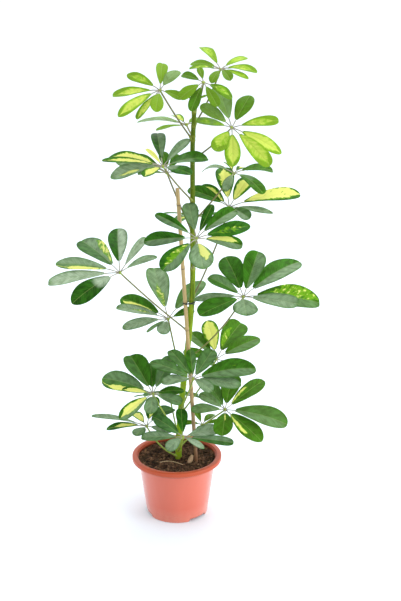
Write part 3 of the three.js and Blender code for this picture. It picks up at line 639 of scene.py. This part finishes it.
# %% Leaflet skins
def leaflet_skins(leaflet):
    """A blade with its colours, and its thin stalk, which runs on under the blade as the raised midrib. The
    bare part of the stalk, ahead of the blade, is faintly purple."""
    direction, length, neck = leaflet.direction, leaflet.length, leaflet.neck
    number = leaflet.number + 0.13 * leaflet.index
    # The rings get closer together towards the tip.
    u = 1 - (1 - np.linspace(0.035, 0.984, 22)) ** 1.6
    rings, across = blade(leaflet, u)
    u = u[:, None]
    gold = gold_field(leaflet.gold[direction], u) if direction in leaflet.gold else -1.0
    silver = painted_sheen_field(leaflet.silver.get(direction, [0, 0]), u)
    youth = leaflet.ages.get(direction, leaflet.youth)
    youth = np.clip(youth + 0.12 * vary(leaflet, "youth") * (youth > 0.3), -1, 1)
    skin = shell(rings, RING_SLOTS, blade=xyz(u * length * (1 - neck), across, number),
                 tint=xyz(youth, silver, gold))

    t = np.concatenate([np.linspace(0.02, 0.27, 8), np.linspace(0.33, 0.86, 6)])
    points, edge, face = midrib(leaflet, t)
    radius = 1.0 - 0.65 * smoothstep(t, 0.12, 0.7)
    sunk = (radius + 0.15) * smoothstep(t, neck - 0.02, neck + 0.07)
    bare = (1 - smoothstep(t, neck, neck + 0.1))[:, None]
    rib = shell(circles(points - face * sunk[:, None], edge, face, radius, 6), np.full(6, STALK),
                blade=xyz((t * length)[:, None], np.cos(directions(6)), number),
                tint=xyz(1 - 0.4 * bare, 0.75 * bare, 0.0))
    return [skin, rib]


# %% [markdown]
# ## One leaf
# The long stalk is one tube with a changing radius: a swollen foot that clasps the stem, a thin run, and a
# knob at the hub, out of which the leaflets come.

# %% Leaf stalk
KNOB = 3.4


def stalk_skin(leaf):
    """A curve from the stem's surface to the hub. Radius: 1.5 mm, plus 2.2 mm at the foot falling off as a
    bell over 6 mm, plus a round knob at the hub. It is greener low down, at its foot and at the hub."""
    joint, hub = stem_centre(float(leaf.joint)), np.array(leaf.hub, float)
    reach = np.linalg.norm(hub - joint)
    start = (stem_radius(leaf.joint) - 1.5) / reach
    finish = 1 + KNOB * 0.55 / reach
    # Nine rings at the foot, twelve along the run, and seven closer ones over the knob.
    s = np.concatenate([np.linspace(start, 0.16, 9), np.linspace(0.2, 1 - 6 / reach, 12),
                        1 - np.array([4.4, 3.4, 2.4, 1.2, 0.2]) / reach, [finish - 0.6 / reach, finish]])
    path = bezier(joint, (joint + hub) / 2 + np.array(leaf.bow), hub, s[:, None])
    along, to_hub = along_path(path), (s - 1) * reach
    ball = np.sqrt(np.clip(KNOB ** 2 - (to_hub / 0.9) ** 2 * 1.35, 0.04, None)) * (to_hub > -KNOB)
    radius = np.maximum(1.5 + 2.2 * bell(along, 6), ball)
    radius[-1] = 0.8
    green = np.maximum(smoothstep(-path[:, 2], -420, -220) * 0.8 + 0.2, smoothstep(to_hub, -8, -3))
    green = np.maximum(green, 0.9 * bell(along, 9))
    skin = tube(path, radius, 12, blade=xyz(along, 0.0, leaf.number)[:, None],
                tint=xyz(green, 0.0, 0.0)[:, None])
    skin["slots"][:] = STALK
    return skin


# %% [markdown]
# A leaf is one piece: its stalk and all its leaflets. The youngest leaves are softer and paler than the
# rest, but they share its finish, and only their colour shows their youth.

# %% Leaves
def held_in(points):
    """A blade's waves stand up to 0.9 mm past the solid's flat facets. So that none stands past the solids'
    box either, a depth d into the last 3 mm before a side of that box becomes 3 (1 - exp(-d / 3))."""
    low, high = np.array(solid_box) / MM
    past_low, past_high = np.maximum(low + 3 - points, 0), np.maximum(points - high + 3, 0)
    return (points + past_low - 3 * (1 - np.exp(-past_low / 3))
            - past_high + 3 * (1 - np.exp(-past_high / 3)))


for name, leaf in LEAVES.items():
    skins = [stalk_skin(leaf)]
    for index, (direction, length, *width) in enumerate(leaf.blades):
        skins += leaflet_skins(SimpleNamespace(**vars(leaf), index=index, direction=direction,
                                               length=length, width=width[0] if width else 1))
    for skin in skins:
        skin["points"] = held_in(skin["points"])
    piece("umbrella_" + name, skins, [blade_top, blade_under, leaf_stalk], node="leaf_" + name)
print("faces in the last leaf:", sum(len(skin["quads"]) for skin in skins))

# %% [markdown]
# ## Stem: green bark
# The stem stays green for years. It has a swollen ring with a scar at each leaf joint, and is smooth in
# between. A curve with a bevel could draw it, but here the radius is a formula of the height, which adds a
# ring wherever the table says that a leaf begins.

# %% Stem
joints = np.array([leaf.joint for leaf in LEAVES.values()])
height = np.linspace(STEM_FOOT, STEM_TOP, 365)
rings_near = bell(height[:, None] - joints, 2.2).max(1)
radius = stem_radius(height) + 0.6 * rings_near
tip = np.sqrt(np.clip(1 - ((height - STEM_TOP + 4) / 4.2) ** 2, 0.02, 1))
radius = np.where(height > STEM_TOP - 4, radius * tip, radius)
stem_skin = rod_skin(stem_centre(height), radius, 20, tint=xyz(rings_near, height / STEM_TOP, 0)[:, None])
print("stem rings:", len(height), "with", len(joints), "leaf joints")

# %% [markdown]
# The bark is thin and smooth, with a dull, waxy shine. It is green, because it still works like a leaf, and
# has lengthwise wrinkles and pale breathing pores. Their patterns read where a point is round and along the
# stem, so they bend with it.

# %% Stem bark
stem_bark, add, rod, tint = new_material("green_stem_bark", "rod", "tint")
scar, way_up, _ = add("SeparateXYZ", [tint]).outputs
# Lengthwise wrinkles: noise 0.8 mm round the stem and 12 mm along it.
wrinkle_map = add("Mapping", {"Vector": rod, "Scale": (1.2, 1.2, 0.08)})
wrinkles = add("TexNoise", [wrinkle_map, 1, 4])
# Breathing pores: pale specks 1 mm wide, 4 to 6 mm apart.
pore_map = add("Mapping", {"Vector": rod, "Scale": (0.25, 0.25, 0.16)})
pore = add("MapRange", [add("TexVoronoi", {"Vector": pore_map, "Scale": 1.0}), 0.1, 0.16, 0.5, 0])
# Painted light and shade: dark and yellow streaks, 5 mm round the stem and 60 mm along it, stand in for
# the light and shade that fall across the stem.
shading_streak_map = add("Mapping", {"Vector": rod, "Scale": (0.2, 0.2, 0.016)})
streaks = add("TexNoise", [shading_streak_map, 1, 1])
painted_shading = add("MapRange", [streaks, 0.38, 0.6])
wrinkled = add("Math", [wrinkles, 0.4], "MULTIPLY")
wrinkles_and_painted_light = add("Math", [painted_shading, 0.6, wrinkled], "MULTIPLY_ADD")
skin_green = add("Mix", [wrinkles_and_painted_light, "#33560A", "#9CB422"])
# The lower stem is bright green and the upper stem dark.
bright = add("Mix", [add("MapRange", [way_up, 0.25, 0.5, 0.45, 0]), skin_green, "#8FBE1E"])
sunned = add("Mix", [add("MapRange", [way_up, 0.5, 0.8, 0, 0.9]), bright, "#4A5F05"])
specked = add("Mix", [pore, sunned, "#B9C06A"])
scarred = add("Mix", [add("Math", [scar, 0.55], "MULTIPLY"), specked, "#8A8A3C"])
relief = add("Bump", {"Height": wrinkles, "Strength": 0.5, "Distance": 0.0005})
bark = add("BsdfPrincipled", {"Base Color": scarred, "Roughness": 0.5, "IOR": 1.45,
                              "Specular IOR Level": 0.15, "Normal": relief})
add("OutputMaterial", [bark])
piece("stem_bark", [stem_skin], [stem_bark], node="stem")

# %% [markdown]
# ## Cane: split-free bamboo
# The cane is a peeled bamboo stick: straight and hard, with a raised knot every 118 mm, a dark line on the
# lower side of each knot, and a darker brown colour towards the bottom. A plain cylinder would read as a
# dowel, so its rings are laid close enough to carry the knots.

# %% Cane
CANE_FOOT, CANE_TIP = np.array([38.5, -14.5, 80.0]), np.array([4.0, -6.0, 640.0])
CANE_LENGTH = np.linalg.norm(CANE_TIP - CANE_FOOT)
at = np.concatenate([np.linspace(0, CANE_LENGTH - 1, 280), [CANE_LENGTH - 0.3, CANE_LENGTH]])
knots = np.arange(60, CANE_LENGTH - 10, 118)
from_knot = at[:, None] - knots
nearest = from_knot[np.arange(len(at)), np.abs(from_knot).argmin(1)]
radius = 3.6 + 0.5 * bell(nearest, 1.9) - 0.25 * bell(nearest - 5, 3)
radius = radius - 0.35 * smoothstep(at, CANE_LENGTH - 0.9, CANE_LENGTH)
cane_path = CANE_FOOT + (at / CANE_LENGTH)[:, None] * (CANE_TIP - CANE_FOOT)
under_knot, darker_low = bell(nearest + 2.2, 0.9), 1 - smoothstep(at, 15, 240)
cane_skin = rod_skin(cane_path, radius, 20, tint=xyz(under_knot, darker_low, 0)[:, None])
print("cane:", round(CANE_LENGTH), "mm long with", len(knots), "knots")

# %% [markdown]
# Peeled bamboo is the colour of straw. Its fibres run from end to end, dark and pale, and its hard surface
# has a faint gloss.

# %% Bamboo
bamboo, add, rod, tint = new_material("peeled_bamboo", "rod", "tint")
dark_line, darkening, _ = add("SeparateXYZ", [tint]).outputs
# Fibres 0.4 mm wide are too fine to show from here, so they are drawn 0.9 mm wide and 40 mm long.
fibre_map = add("Mapping", {"Vector": rod, "Scale": (1.1, 1.1, 0.025)})
fibres = add("TexNoise", [fibre_map, 1, 5, 0.65])
straw = add("Mix", [fibres, "#7F6836", "#D2B47C"])
# The lowest part of the cane is darker and browner.
darkened = add("Mix", [darkening, straw, "#7A573A"])
knotted = add("Mix", [dark_line, darkened, "#5A4026"])
relief = add("Bump", {"Height": fibres, "Strength": 0.4, "Distance": 0.0003})
sheen = add("MapRange", [fibres, 0, 1, 0.42, 0.62])
stick = add("BsdfPrincipled", {"Base Color": knotted, "Roughness": sheen, "IOR": 1.5, "Normal": relief})
add("OutputMaterial", [stick])
piece("bamboo_cane", [cane_skin], [bamboo], node="cane")

# %% [markdown]
# ## Tie: plastic-coated wire
# A thin wire with a smooth black coating, slightly shiny, goes round the cane and the stem, and its ends
# are twisted together and bent aside. The loop could be drawn by hand. Here, in each direction, it lies on
# whichever of the two rods reaches furthest, as a tight loop does, so it fits them wherever they are.

# %% Tie
TIE_HEIGHT, WIRE_RADIUS = 425.0, 0.85
CANE_RADIUS, GAP = 3.7, 0.3
share_up = (TIE_HEIGHT - CANE_FOOT[2]) / (CANE_TIP[2] - CANE_FOOT[2])
rods = np.array([CANE_FOOT + share_up * (CANE_TIP - CANE_FOOT), stem_centre(TIE_HEIGHT)])
reaches = np.array([CANE_RADIUS + GAP + WIRE_RADIUS, stem_radius(TIE_HEIGHT) + GAP + WIRE_RADIUS])
# The ends of the loop meet at 292 degrees, to the right and towards the viewer.
angle = np.radians(292 + np.linspace(4, 356, 90))
out = turned(1, angle, 0)
furthest = (out @ rods.T + reaches).argmax(1)
loop = rods[furthest] + out * reaches[furthest][:, None]
# Where the loop leaves one rod for the other, its corners are smoothed.
for _ in range(3):
    loop[1:-1] = (loop[:-2] + 2 * loop[1:-1] + loop[2:]) / 4
loop[:, 2] = TIE_HEIGHT + 0.6 * np.sin(angle * 2)
# The two ends turn round each other through 12 radians, and part over the last three.
twist_start = (loop[0] + loop[-1]) / 2
step = np.linspace(0, 12, 60)
spread = 0.8 + 0.7 * np.maximum(0, step - 9)
strands = [xyz(twist_start[0] + 1.35 * step - 1,
               twist_start[1] - 1 - 0.2 * step + spread * np.cos(side + step),
               TIE_HEIGHT + 0.2 * step + spread * np.sin(side + step)) for side in (0, np.pi)]
wires = [rod_skin(path, WIRE_RADIUS, 8, across=(0.05, 0.1, 1.0)) for path in (loop, *strands)]
print("wire used:", round(sum(along_path(path)[-1] for path in (loop, *strands))), "mm")

# %% [markdown]
# The coating is soft PVC (index about 1.53), which is smooth with blurred highlights, and duller where it
# is scuffed.

# %% Wire coating
coating, add, rod = new_material("pvc_coated_wire", "rod")
# Scuffs of about 1 mm.
scuff = add("TexNoise", [rod, 0.8, 3])
black = add("Mix", [scuff, "#0B120D", "#26302A"])
dullness = add("MapRange", [scuff, 0, 1, 0.3, 0.55])
coat = add("BsdfPrincipled", {"Base Color": black, "Roughness": dullness, "IOR": 1.53})
add("OutputMaterial", [coat])
piece("wire_tie", wires, [coating], node="tie")

# %% [markdown]
# ## Pot: injection-moulded polypropylene
# The nursery pot is thin polypropylene, coloured right through. Its wall tapers, its rim is turned over and
# down for stiffness, the middle of its floor comes down to the ground, and the ring round it is raised and
# drained. Three shallow arches in the foot let water out.
#
# It is a profile turned about the pot's axis, so it could be drawn as a curve and spun. Here the profile is
# a list of corners, rounded by cutting each one, and the arches lift the lowest points of it as a function
# of the direction round the pot.

# %% Pot profile
# Corners (radius, height): out under the floor, up the outside, over the rim, down the inside, and back in.
POT_CORNERS = np.array([
    [0.5, 0], [30, 0], [31.5, 6], [54.5, 6], [55.2, 0], [58, 0], [73, 106.5], [73.1, 108], [73.5, 114.4],
    [83, 114.4], [83.2, 109], [85, 109], [85, 117], [75.5, 117], [74.9, 109], [70.9, 107], [57.3, 7.8],
    [30, 7.8], [28.5, 1.8], [0.5, 1.8],
])
CORNER_CUTS = np.array([0, 1, 1, 1, 0.5, 0.8, 1, 0.6, 0.8, 0.8, 0.4, 0.6, 2.2, 1.8, 1, 1, 1, 1, 1, 0])


def rounded(corners, cuts, steps=4):
    """Each corner becomes a quadratic curve between points a cut's length before and after it."""
    s = np.linspace(0, 1, steps)[:, None]
    rounds = [corners[:1]]
    for before, corner, after, cut in zip(corners[:-2], corners[1:-1], corners[2:], cuts[1:-1]):
        start, end = corner + cut * unit(before - corner), corner + cut * unit(after - corner)
        rounds.append(bezier(start, corner, end, s))
    return np.concatenate(rounds + [corners[-1:]])


def subdivided(profile, longest):
    """Points added so that no step of the profile is longer than that."""
    pieces = [np.linspace(a, b, max(2, int(np.ceil(np.linalg.norm(b - a) / longest)) + 1))[:-1]
              for a, b in zip(profile[:-1], profile[1:])]
    return np.concatenate(pieces + [profile[-1:]])


pot_profile = subdivided(rounded(POT_CORNERS, CORNER_CUTS), 3.0)
POT_SIDES, FOOT_RADIUS, ARCH_HEIGHT = 192, 57, 5.6
turn = directions(POT_SIDES)
# The angle from the nearest arch. Three of them stand at 75, 195 and 315 degrees, about 40 mm long each.
from_arch = (turn - np.radians(75) + np.radians(60)) % np.radians(120) - np.radians(60)
arch = 1 - smoothstep(np.abs(from_arch) * FOOT_RADIUS, 18.5, 21.5)
r, z = pot_profile[:, :1], pot_profile[:, 1:]
lift = ARCH_HEIGHT * arch * (r > 53) * (r < 59.2) * (1 - z / ARCH_HEIGHT) * (z < ARCH_HEIGHT)
pot_rings = turned(r, turn, z + lift)
print("pot profile:", len(pot_profile), "points; height", pot_rings[..., 2].max(), "mm")

# %% [markdown]
# The plastic has a satin surface (index 1.49, roughness about 0.35) with faint vertical flow marks from the
# mould, a few dull scuffs, and some dust near the ground.

# %% Pot material
def polypropylene(name, light, dark, coat):
    """Terracotta-coloured plastic. Its clear coat stands for the skin of smooth resin on moulded parts."""
    material, add = new_material(name)
    where = add("TexCoord").outputs["Object"]
    across, aside, height = add("SeparateXYZ", [where]).outputs
    # Flow marks 17 mm wide that run up the wall, and scuffs of 4 to 8 mm.
    flow_map = add("Mapping", {"Vector": where, "Scale": (60.0, 60.0, 6.0)})
    flow = add("TexNoise", [flow_map, 1, 3])
    scuff_map = add("Mapping", {"Vector": where, "Scale": (120.0, 120.0, 260.0)})
    scuffs = add("TexNoise", [scuff_map, 1, 5, 0.7])
    terracotta = add("Mix", [flow, dark, light])
    # Painted shade and peat stains darken the inside of the wall above the soil, less and less up to 2 mm
    # below the rim.
    around = add("CombineXYZ", [across, aside])
    from_axis = add("VectorMath", [around], "LENGTH")
    inside = add("MapRange", [from_axis, 0.0755, 0.0763, 1, 0])
    under_edge = add("MapRange", [height, 0.109, 0.115, 0.9, 0])
    above_soil = add("MapRange", [height, 0.1, 0.106])
    wall_shade_and_stain = add("Math", [inside, under_edge], "MULTIPLY")
    darkening = add("Math", [wall_shade_and_stain, above_soil], "MULTIPLY")
    darkened = add("Mix", [darkening, terracotta, "#3A2216"])
    # Dust lies on the lowest 30 mm.
    low = add("MapRange", [height, 0, 0.03, 0.5, 0])
    dust = add("Math", [low, scuffs], "MULTIPLY")
    dusty = add("Mix", [dust, darkened, "#D9A590"])
    satin = add("MapRange", [scuffs, 0.3, 0.7, 0.28, 0.4])
    relief = add("Bump", {"Height": scuffs, "Strength": 0.12, "Distance": 0.0003})
    body = add("BsdfPrincipled", {"Base Color": dusty, "Roughness": satin, "IOR": 1.49, "Normal": relief,
                                  "Specular IOR Level": 0.3, "Coat Weight": coat, "Coat Roughness": 0.2})
    add("OutputMaterial", [body])
    return material


# The turned-over rim has a darker colour, which is painted shade, and hands have rubbed its gloss off.
plastic = polypropylene("moulded_polypropylene", "#D0624A", "#C95B42", coat=1.0)
shaded_rim_plastic = polypropylene("shaded_rim_polypropylene", "#B8502F", "#AE4727", coat=0.0)

# %% [markdown]
# Six drain holes are cut through the raised ring of the floor by a Boolean modifier. It is applied at once,
# so that the finished mesh is plain.

# %% Pot piece
RIM_FOOT = 108.5
DRAIN_RADIUS, DRAINS_OUT = 4.5, 44
pot_skin = shell(pot_rings)
pot_skin["slots"] = np.repeat((pot_rings[:-1, :, 2].min(1) > RIM_FOOT).astype(int), POT_SIDES)
pot = piece("nursery_pot", [pot_skin], [plastic, shaded_rim_plastic], node="pot")
drain = np.stack([turned(DRAIN_RADIUS, directions(24), z) for z in (3.0, 10.0)])
cutter = piece("drain_cutter", [shell(drain + turned(DRAINS_OUT, middle, 0))
                                for middle in np.radians(30 + 60 * np.arange(6))], [plastic])
bore = pot.modifiers.new("drains", "BOOLEAN")
bore.object = cutter
bore.solver = "EXACT"
bpy.context.view_layer.update()
bored = bpy.data.meshes.new_from_object(pot.evaluated_get(bpy.context.evaluated_depsgraph_get()))
pot.modifiers.clear()
pot.data = bored
bpy.data.objects.remove(cutter)
print("pot faces:", len(pot.data.polygons))

# %% [markdown]
# ## Soil: fibrous peat
# Potting soil is dark brown peat with crumbs, bits of bark and pale fibres. It settles a centimetre below
# the rim, and stands a little higher by the wall. The ground could be sculpted. A formula for its height
# does as well, and tells everything that is strewn on it how high to lie.

# %% Soil
def soil_height(x, y):
    """The solid's gentle bumps, finer lumps from sines that cross, and a rise of 3 mm by the wall, where
    the others die down to a quarter."""
    bumps = 1.4 * np.sin(x / 7.3 + 1) * np.cos(y / 8.1) + 0.8 * np.sin((x + y) / 4.9)
    lumps = 1.5 * np.sin(x / 2.9 + 2 * np.sin(y / 4.1)) * np.sin(y / 3.3 + 1.7 * np.sin(x / 3.7))
    by_wall = smoothstep(np.hypot(x, y), 63, 72)
    return SOIL_TOP - 0.6 + (bumps + lumps) * (1 - 0.75 * by_wall) + 3.0 * by_wall


# Corners (radius, height) of the soil's sides and underside, half a millimetre inside the pot.
SOIL_UNDERSIDE = np.array([[73.8, 109.1], [70.0, 107.2], [69.6, 97], [56.6, 8.4], [30.5, 8.4], [28, 2.2],
                           [0.3, 2.2]])
top = turned(np.concatenate([np.linspace(0.3, 73.6, 96), [73.9]])[:, None], turn[::2], 0)
top[..., 2] = soil_height(top[..., 0], top[..., 1])
under = turned(SOIL_UNDERSIDE[:, :1], turn[::2], SOIL_UNDERSIDE[:, 1:])
ground = shell(np.concatenate([top, under]), tint=np.array([0.25, 0.0, 0.0]))
print("soil height:", top[..., 2].min().round(1), "to", top[..., 2].max().round(1), "mm")

# %% [markdown]
# Hundreds of crumbs, chips and fibres, of about thirty faces each or fewer, are strewn over the ground with
# a seeded draw. A particle system could strew them, but arrays of turned and stretched copies stay one
# plain mesh.

# %% Crumbs, chips and fibres
rng = np.random.default_rng(11)


def strewn(count, shape, sizes, lift, tints, tilt=0.5):
    """Copies of a stack of rings, one length long, laid about on the soil: each is stretched by its own
    sizes, tipped and turned, and set on the ground at a distance that grows as the root of a draw, which
    spreads them evenly from the stem to the wall."""
    smallest, largest = np.array(sizes)
    sizes = smallest + rng.random((count, 3)) ** 1.5 * (largest - smallest)
    far, compass = (73.5 - 0.6 * sizes[:, 0]) * np.sqrt(rng.random(count)), 2 * np.pi * rng.random(count)
    middle = turned(np.maximum(far, 9), compass, 0)
    middle[:, 2] = soil_height(middle[:, 0], middle[:, 1]) + lift * sizes[:, 2]
    yaw, tip = 2 * np.pi * rng.random(count), tilt * rng.standard_normal(count)
    heading = turned(np.cos(tip), yaw, np.sin(tip))
    aside = xyz(-np.sin(yaw), np.cos(yaw), 0)
    axes = np.stack([heading, aside, np.cross(heading, aside)], axis=1) * sizes[..., None]
    copies = np.einsum("rpk,nkc->nrpc", shape, axes) + middle[:, None, None]
    colours = tints[0] + rng.random((count, 1)) ** 2 * (np.array(tints[1]) - tints[0])
    return [shell(copy, tint=colour) for copy, colour in zip(copies, colours)]


def lump(rows, sides, bend=0.0):
    """An uneven ball of radius 0.5, or a bent rod, as rings along x."""
    s = np.linspace(-1, 1, rows)[:, None]
    angle = directions(sides) + 0.4 * s
    radius = 0.5 * np.sqrt(1 - 0.93 * s ** 2) * (1 + 0.18 * np.sin(3 * angle + 5 * s))
    return xyz(0.5 * s, radius * np.cos(angle) + bend * s ** 2, radius * np.sin(angle))


DARK, TAWNY, PALE = [0.1, 0.0, 0.0], [0.75, 0.0, 0.0], [1.0, 0.0, 0.0]
crumbs = strewn(900, lump(5, 7), [[2, 1.8, 1.6], [9, 8, 6]], 0.15, (DARK, TAWNY))
chips = strewn(170, lump(3, 5), [[4, 2, 0.7], [11, 4.5, 1.6]], 0.4, (DARK, PALE))
fibres = strewn(330, lump(5, 4, bend=4.0), [[7, 0.5, 0.5], [17, 0.9, 0.9]], 1.2, (TAWNY, PALE), tilt=0.25)
print("strewn pieces:", len(crumbs) + len(chips) + len(fibres))

# %% [markdown]
# Two odd pieces lie on top: a pale chip of bark, leaning towards the foot of the cane, and a thin dry twig.
# Both are tubes, and the chip is then pressed flat.

# %% Bark chip and twig
s = np.linspace(0, 1, 9)
chip_path = np.array([22.0, -21.0, 105.0]) + s[:, None] * np.array([9.0, 4.0, 17.0])
bark_chip = tube(chip_path, 1.2 + 4.0 * np.sin(np.pi * np.clip(s, 0.05, 0.95)) ** 0.7, 9,
                 tint=np.array([1.0, 0.4, 0.0]))
# The chip is a round spindle, pressed flat to 0.28 of its thickness.
flat_side = unit(np.array([0.35, -0.9, 0.25]))
offset = (bark_chip["points"] - chip_path[0]) @ flat_side
bark_chip["points"] = bark_chip["points"] - 0.72 * offset[:, None] * flat_side
twig_path = xyz(-32 + 44 * s, -24 - 8 * s + 3 * np.sin(4 * s), 110.5 + 3.0 * np.sin(3 * s))
twig = tube(twig_path, 0.9 - 0.3 * s, 7, tint=np.array([1.0, 0.7, 0.0]))
print("twig:", round(along_path(twig_path)[-1]), "mm long")

# %% [markdown]
# Dry peat is brown and dull with pale fibres in it, and it is nearly black where it stays wet. Fine noise
# times a broader one gathers the light grains into patches, as in real peat.

# %% Soil material
peat, add, tint = new_material("fibrous_peat", "tint")
dryness, strawness, _ = add("SeparateXYZ", [tint]).outputs
where = add("TexCoord").outputs["Object"]
# Grains of 3 mm down to a tenth of one, in patches of 9 mm.
grain = add("TexNoise", [where, 300, 6, 0.7])
patches = add("TexNoise", [where, 110, 3])
light_share = add("Math", [grain, patches], "MULTIPLY")
speckle = add("MapRange", [light_share, 0.2, 0.36])
brown = add("Mix", [speckle, "#170D08", "#6F4A32"])
dry = add("Mix", [speckle, "#74523B", "#B08B6C"])
crumb = add("Mix", [dryness, brown, dry])
straw = add("Mix", [strawness, crumb, "#CDB592"])
# Painted shade: the hollows between the lumps are darker, and the tops of the lumps a little lighter.
height_up = add("SeparateXYZ", [where]).outputs["Z"]
painted_hollow_shade = add("MapRange", [height_up, 0.1045, 0.1105, 0.35, 1.15])
shaded_peat = add("VectorMath", [straw, painted_hollow_shade], "MULTIPLY")
relief = add("Bump", {"Height": grain, "Strength": 0.8, "Distance": 0.0012})
earth = add("BsdfPrincipled", {"Base Color": shaded_peat, "Roughness": 0.95, "IOR": 1.4, "Normal": relief})
add("OutputMaterial", [earth])
piece("peat_soil", [ground, *crumbs, *chips, *fibres, bark_chip, twig], [peat], node="soil")

# %% [markdown]
# ## Floor
# The plant stands on a plain matt white studio floor. It isn't part of the plant, and it reaches far out,
# so that it fills the picture from other sides too.

# %% Floor
# Metres from the plant to each side of the floor.
FLOOR_REACH = 60
floor_mesh = bpy.data.meshes.new("floor")
floor_corners = FLOOR_REACH * np.array([[-1, -1, 0], [1, -1, 0], [1, 1, 0], [-1, 1, 0]])
floor_mesh.from_pydata(floor_corners.tolist(), [], [(0, 1, 2, 3)])
floor_paint, add = new_material("matt_white_floor")
where = add("TexCoord").outputs["Object"]
mottle = add("TexNoise", [where, 1.5, 2])
white = add("Mix", [mottle, "#E3F0FA", "#E9F4FC"])
paint = add("BsdfPrincipled", {"Base Color": white, "Roughness": 0.8})
add("OutputMaterial", [paint])
floor_mesh.materials.append(floor_paint)
floor = bpy.data.objects.new("floor", floor_mesh)
bpy.context.scene.collection.objects.link(floor)
print("floor:", 2 * FLOOR_REACH, "m wide")

# %% [markdown]
# ## Light
# The light is almost even. A white sky all round fills the shadows, broad soft lights from the right and
# from above give the leaves their sheen, a weak one from the left models the pot, and a faint low one in
# front lifts its shaded side.

# %% Sky and lights
sky = bpy.data.worlds.new("white_sky")
sky.use_nodes = True
sky.node_tree.nodes.clear()
add = partial(add_node, sky.node_tree)
# The light comes from above and behind; the side that the viewer stands on is dimmer.
where = add("TexCoord").outputs["Generated"]
toward = add("VectorMath", [where, (0.15, 0.6, 0.75)], "DOT_PRODUCT")
level = add("MapRange", [toward, -0.8, 0.8, 0.35, 1.55])
backdrop = add("Background", ["#FFFFFF", level])
add("OutputWorld", [backdrop])
bpy.context.scene.world = sky
bpy.context.scene.view_settings.view_transform = "Standard"

# Each light: where it stands in metres, its size, and its watts. All of them face the middle of the plant.
SOFT_LIGHTS = {"light_right": ((2.2, -0.9, 0.7), 1.5, 36), "light_left": ((-2.6, 0.3, 0.8), 1.2, 8),
               "light_above": ((0.5, 1.2, 3.0), 1.6, 30), "light_low": ((0.3, -1.9, 0.15), 0.8, 3)}
PLANT_MIDDLE = np.array([0.0, 0.0, 0.45])
for name, (place, size, watts) in SOFT_LIGHTS.items():
    lamp = bpy.data.lights.new(name, "AREA")
    lamp.shape = "SQUARE"
    lamp.size = size
    lamp.energy = watts
    holder = bpy.data.objects.new(name, lamp)
    holder.location = place
    aim = unit(PLANT_MIDDLE - np.array(place))
    holder.rotation_euler = (np.arccos(-aim[2]), 0.0, np.arctan2(aim[0], -aim[1]) + np.pi)
    bpy.context.scene.collection.objects.link(holder)
print("lights:", len(SOFT_LIGHTS))

# %% [markdown]
# The leaves, the pot and the rest may stand only a little proud of the solids.
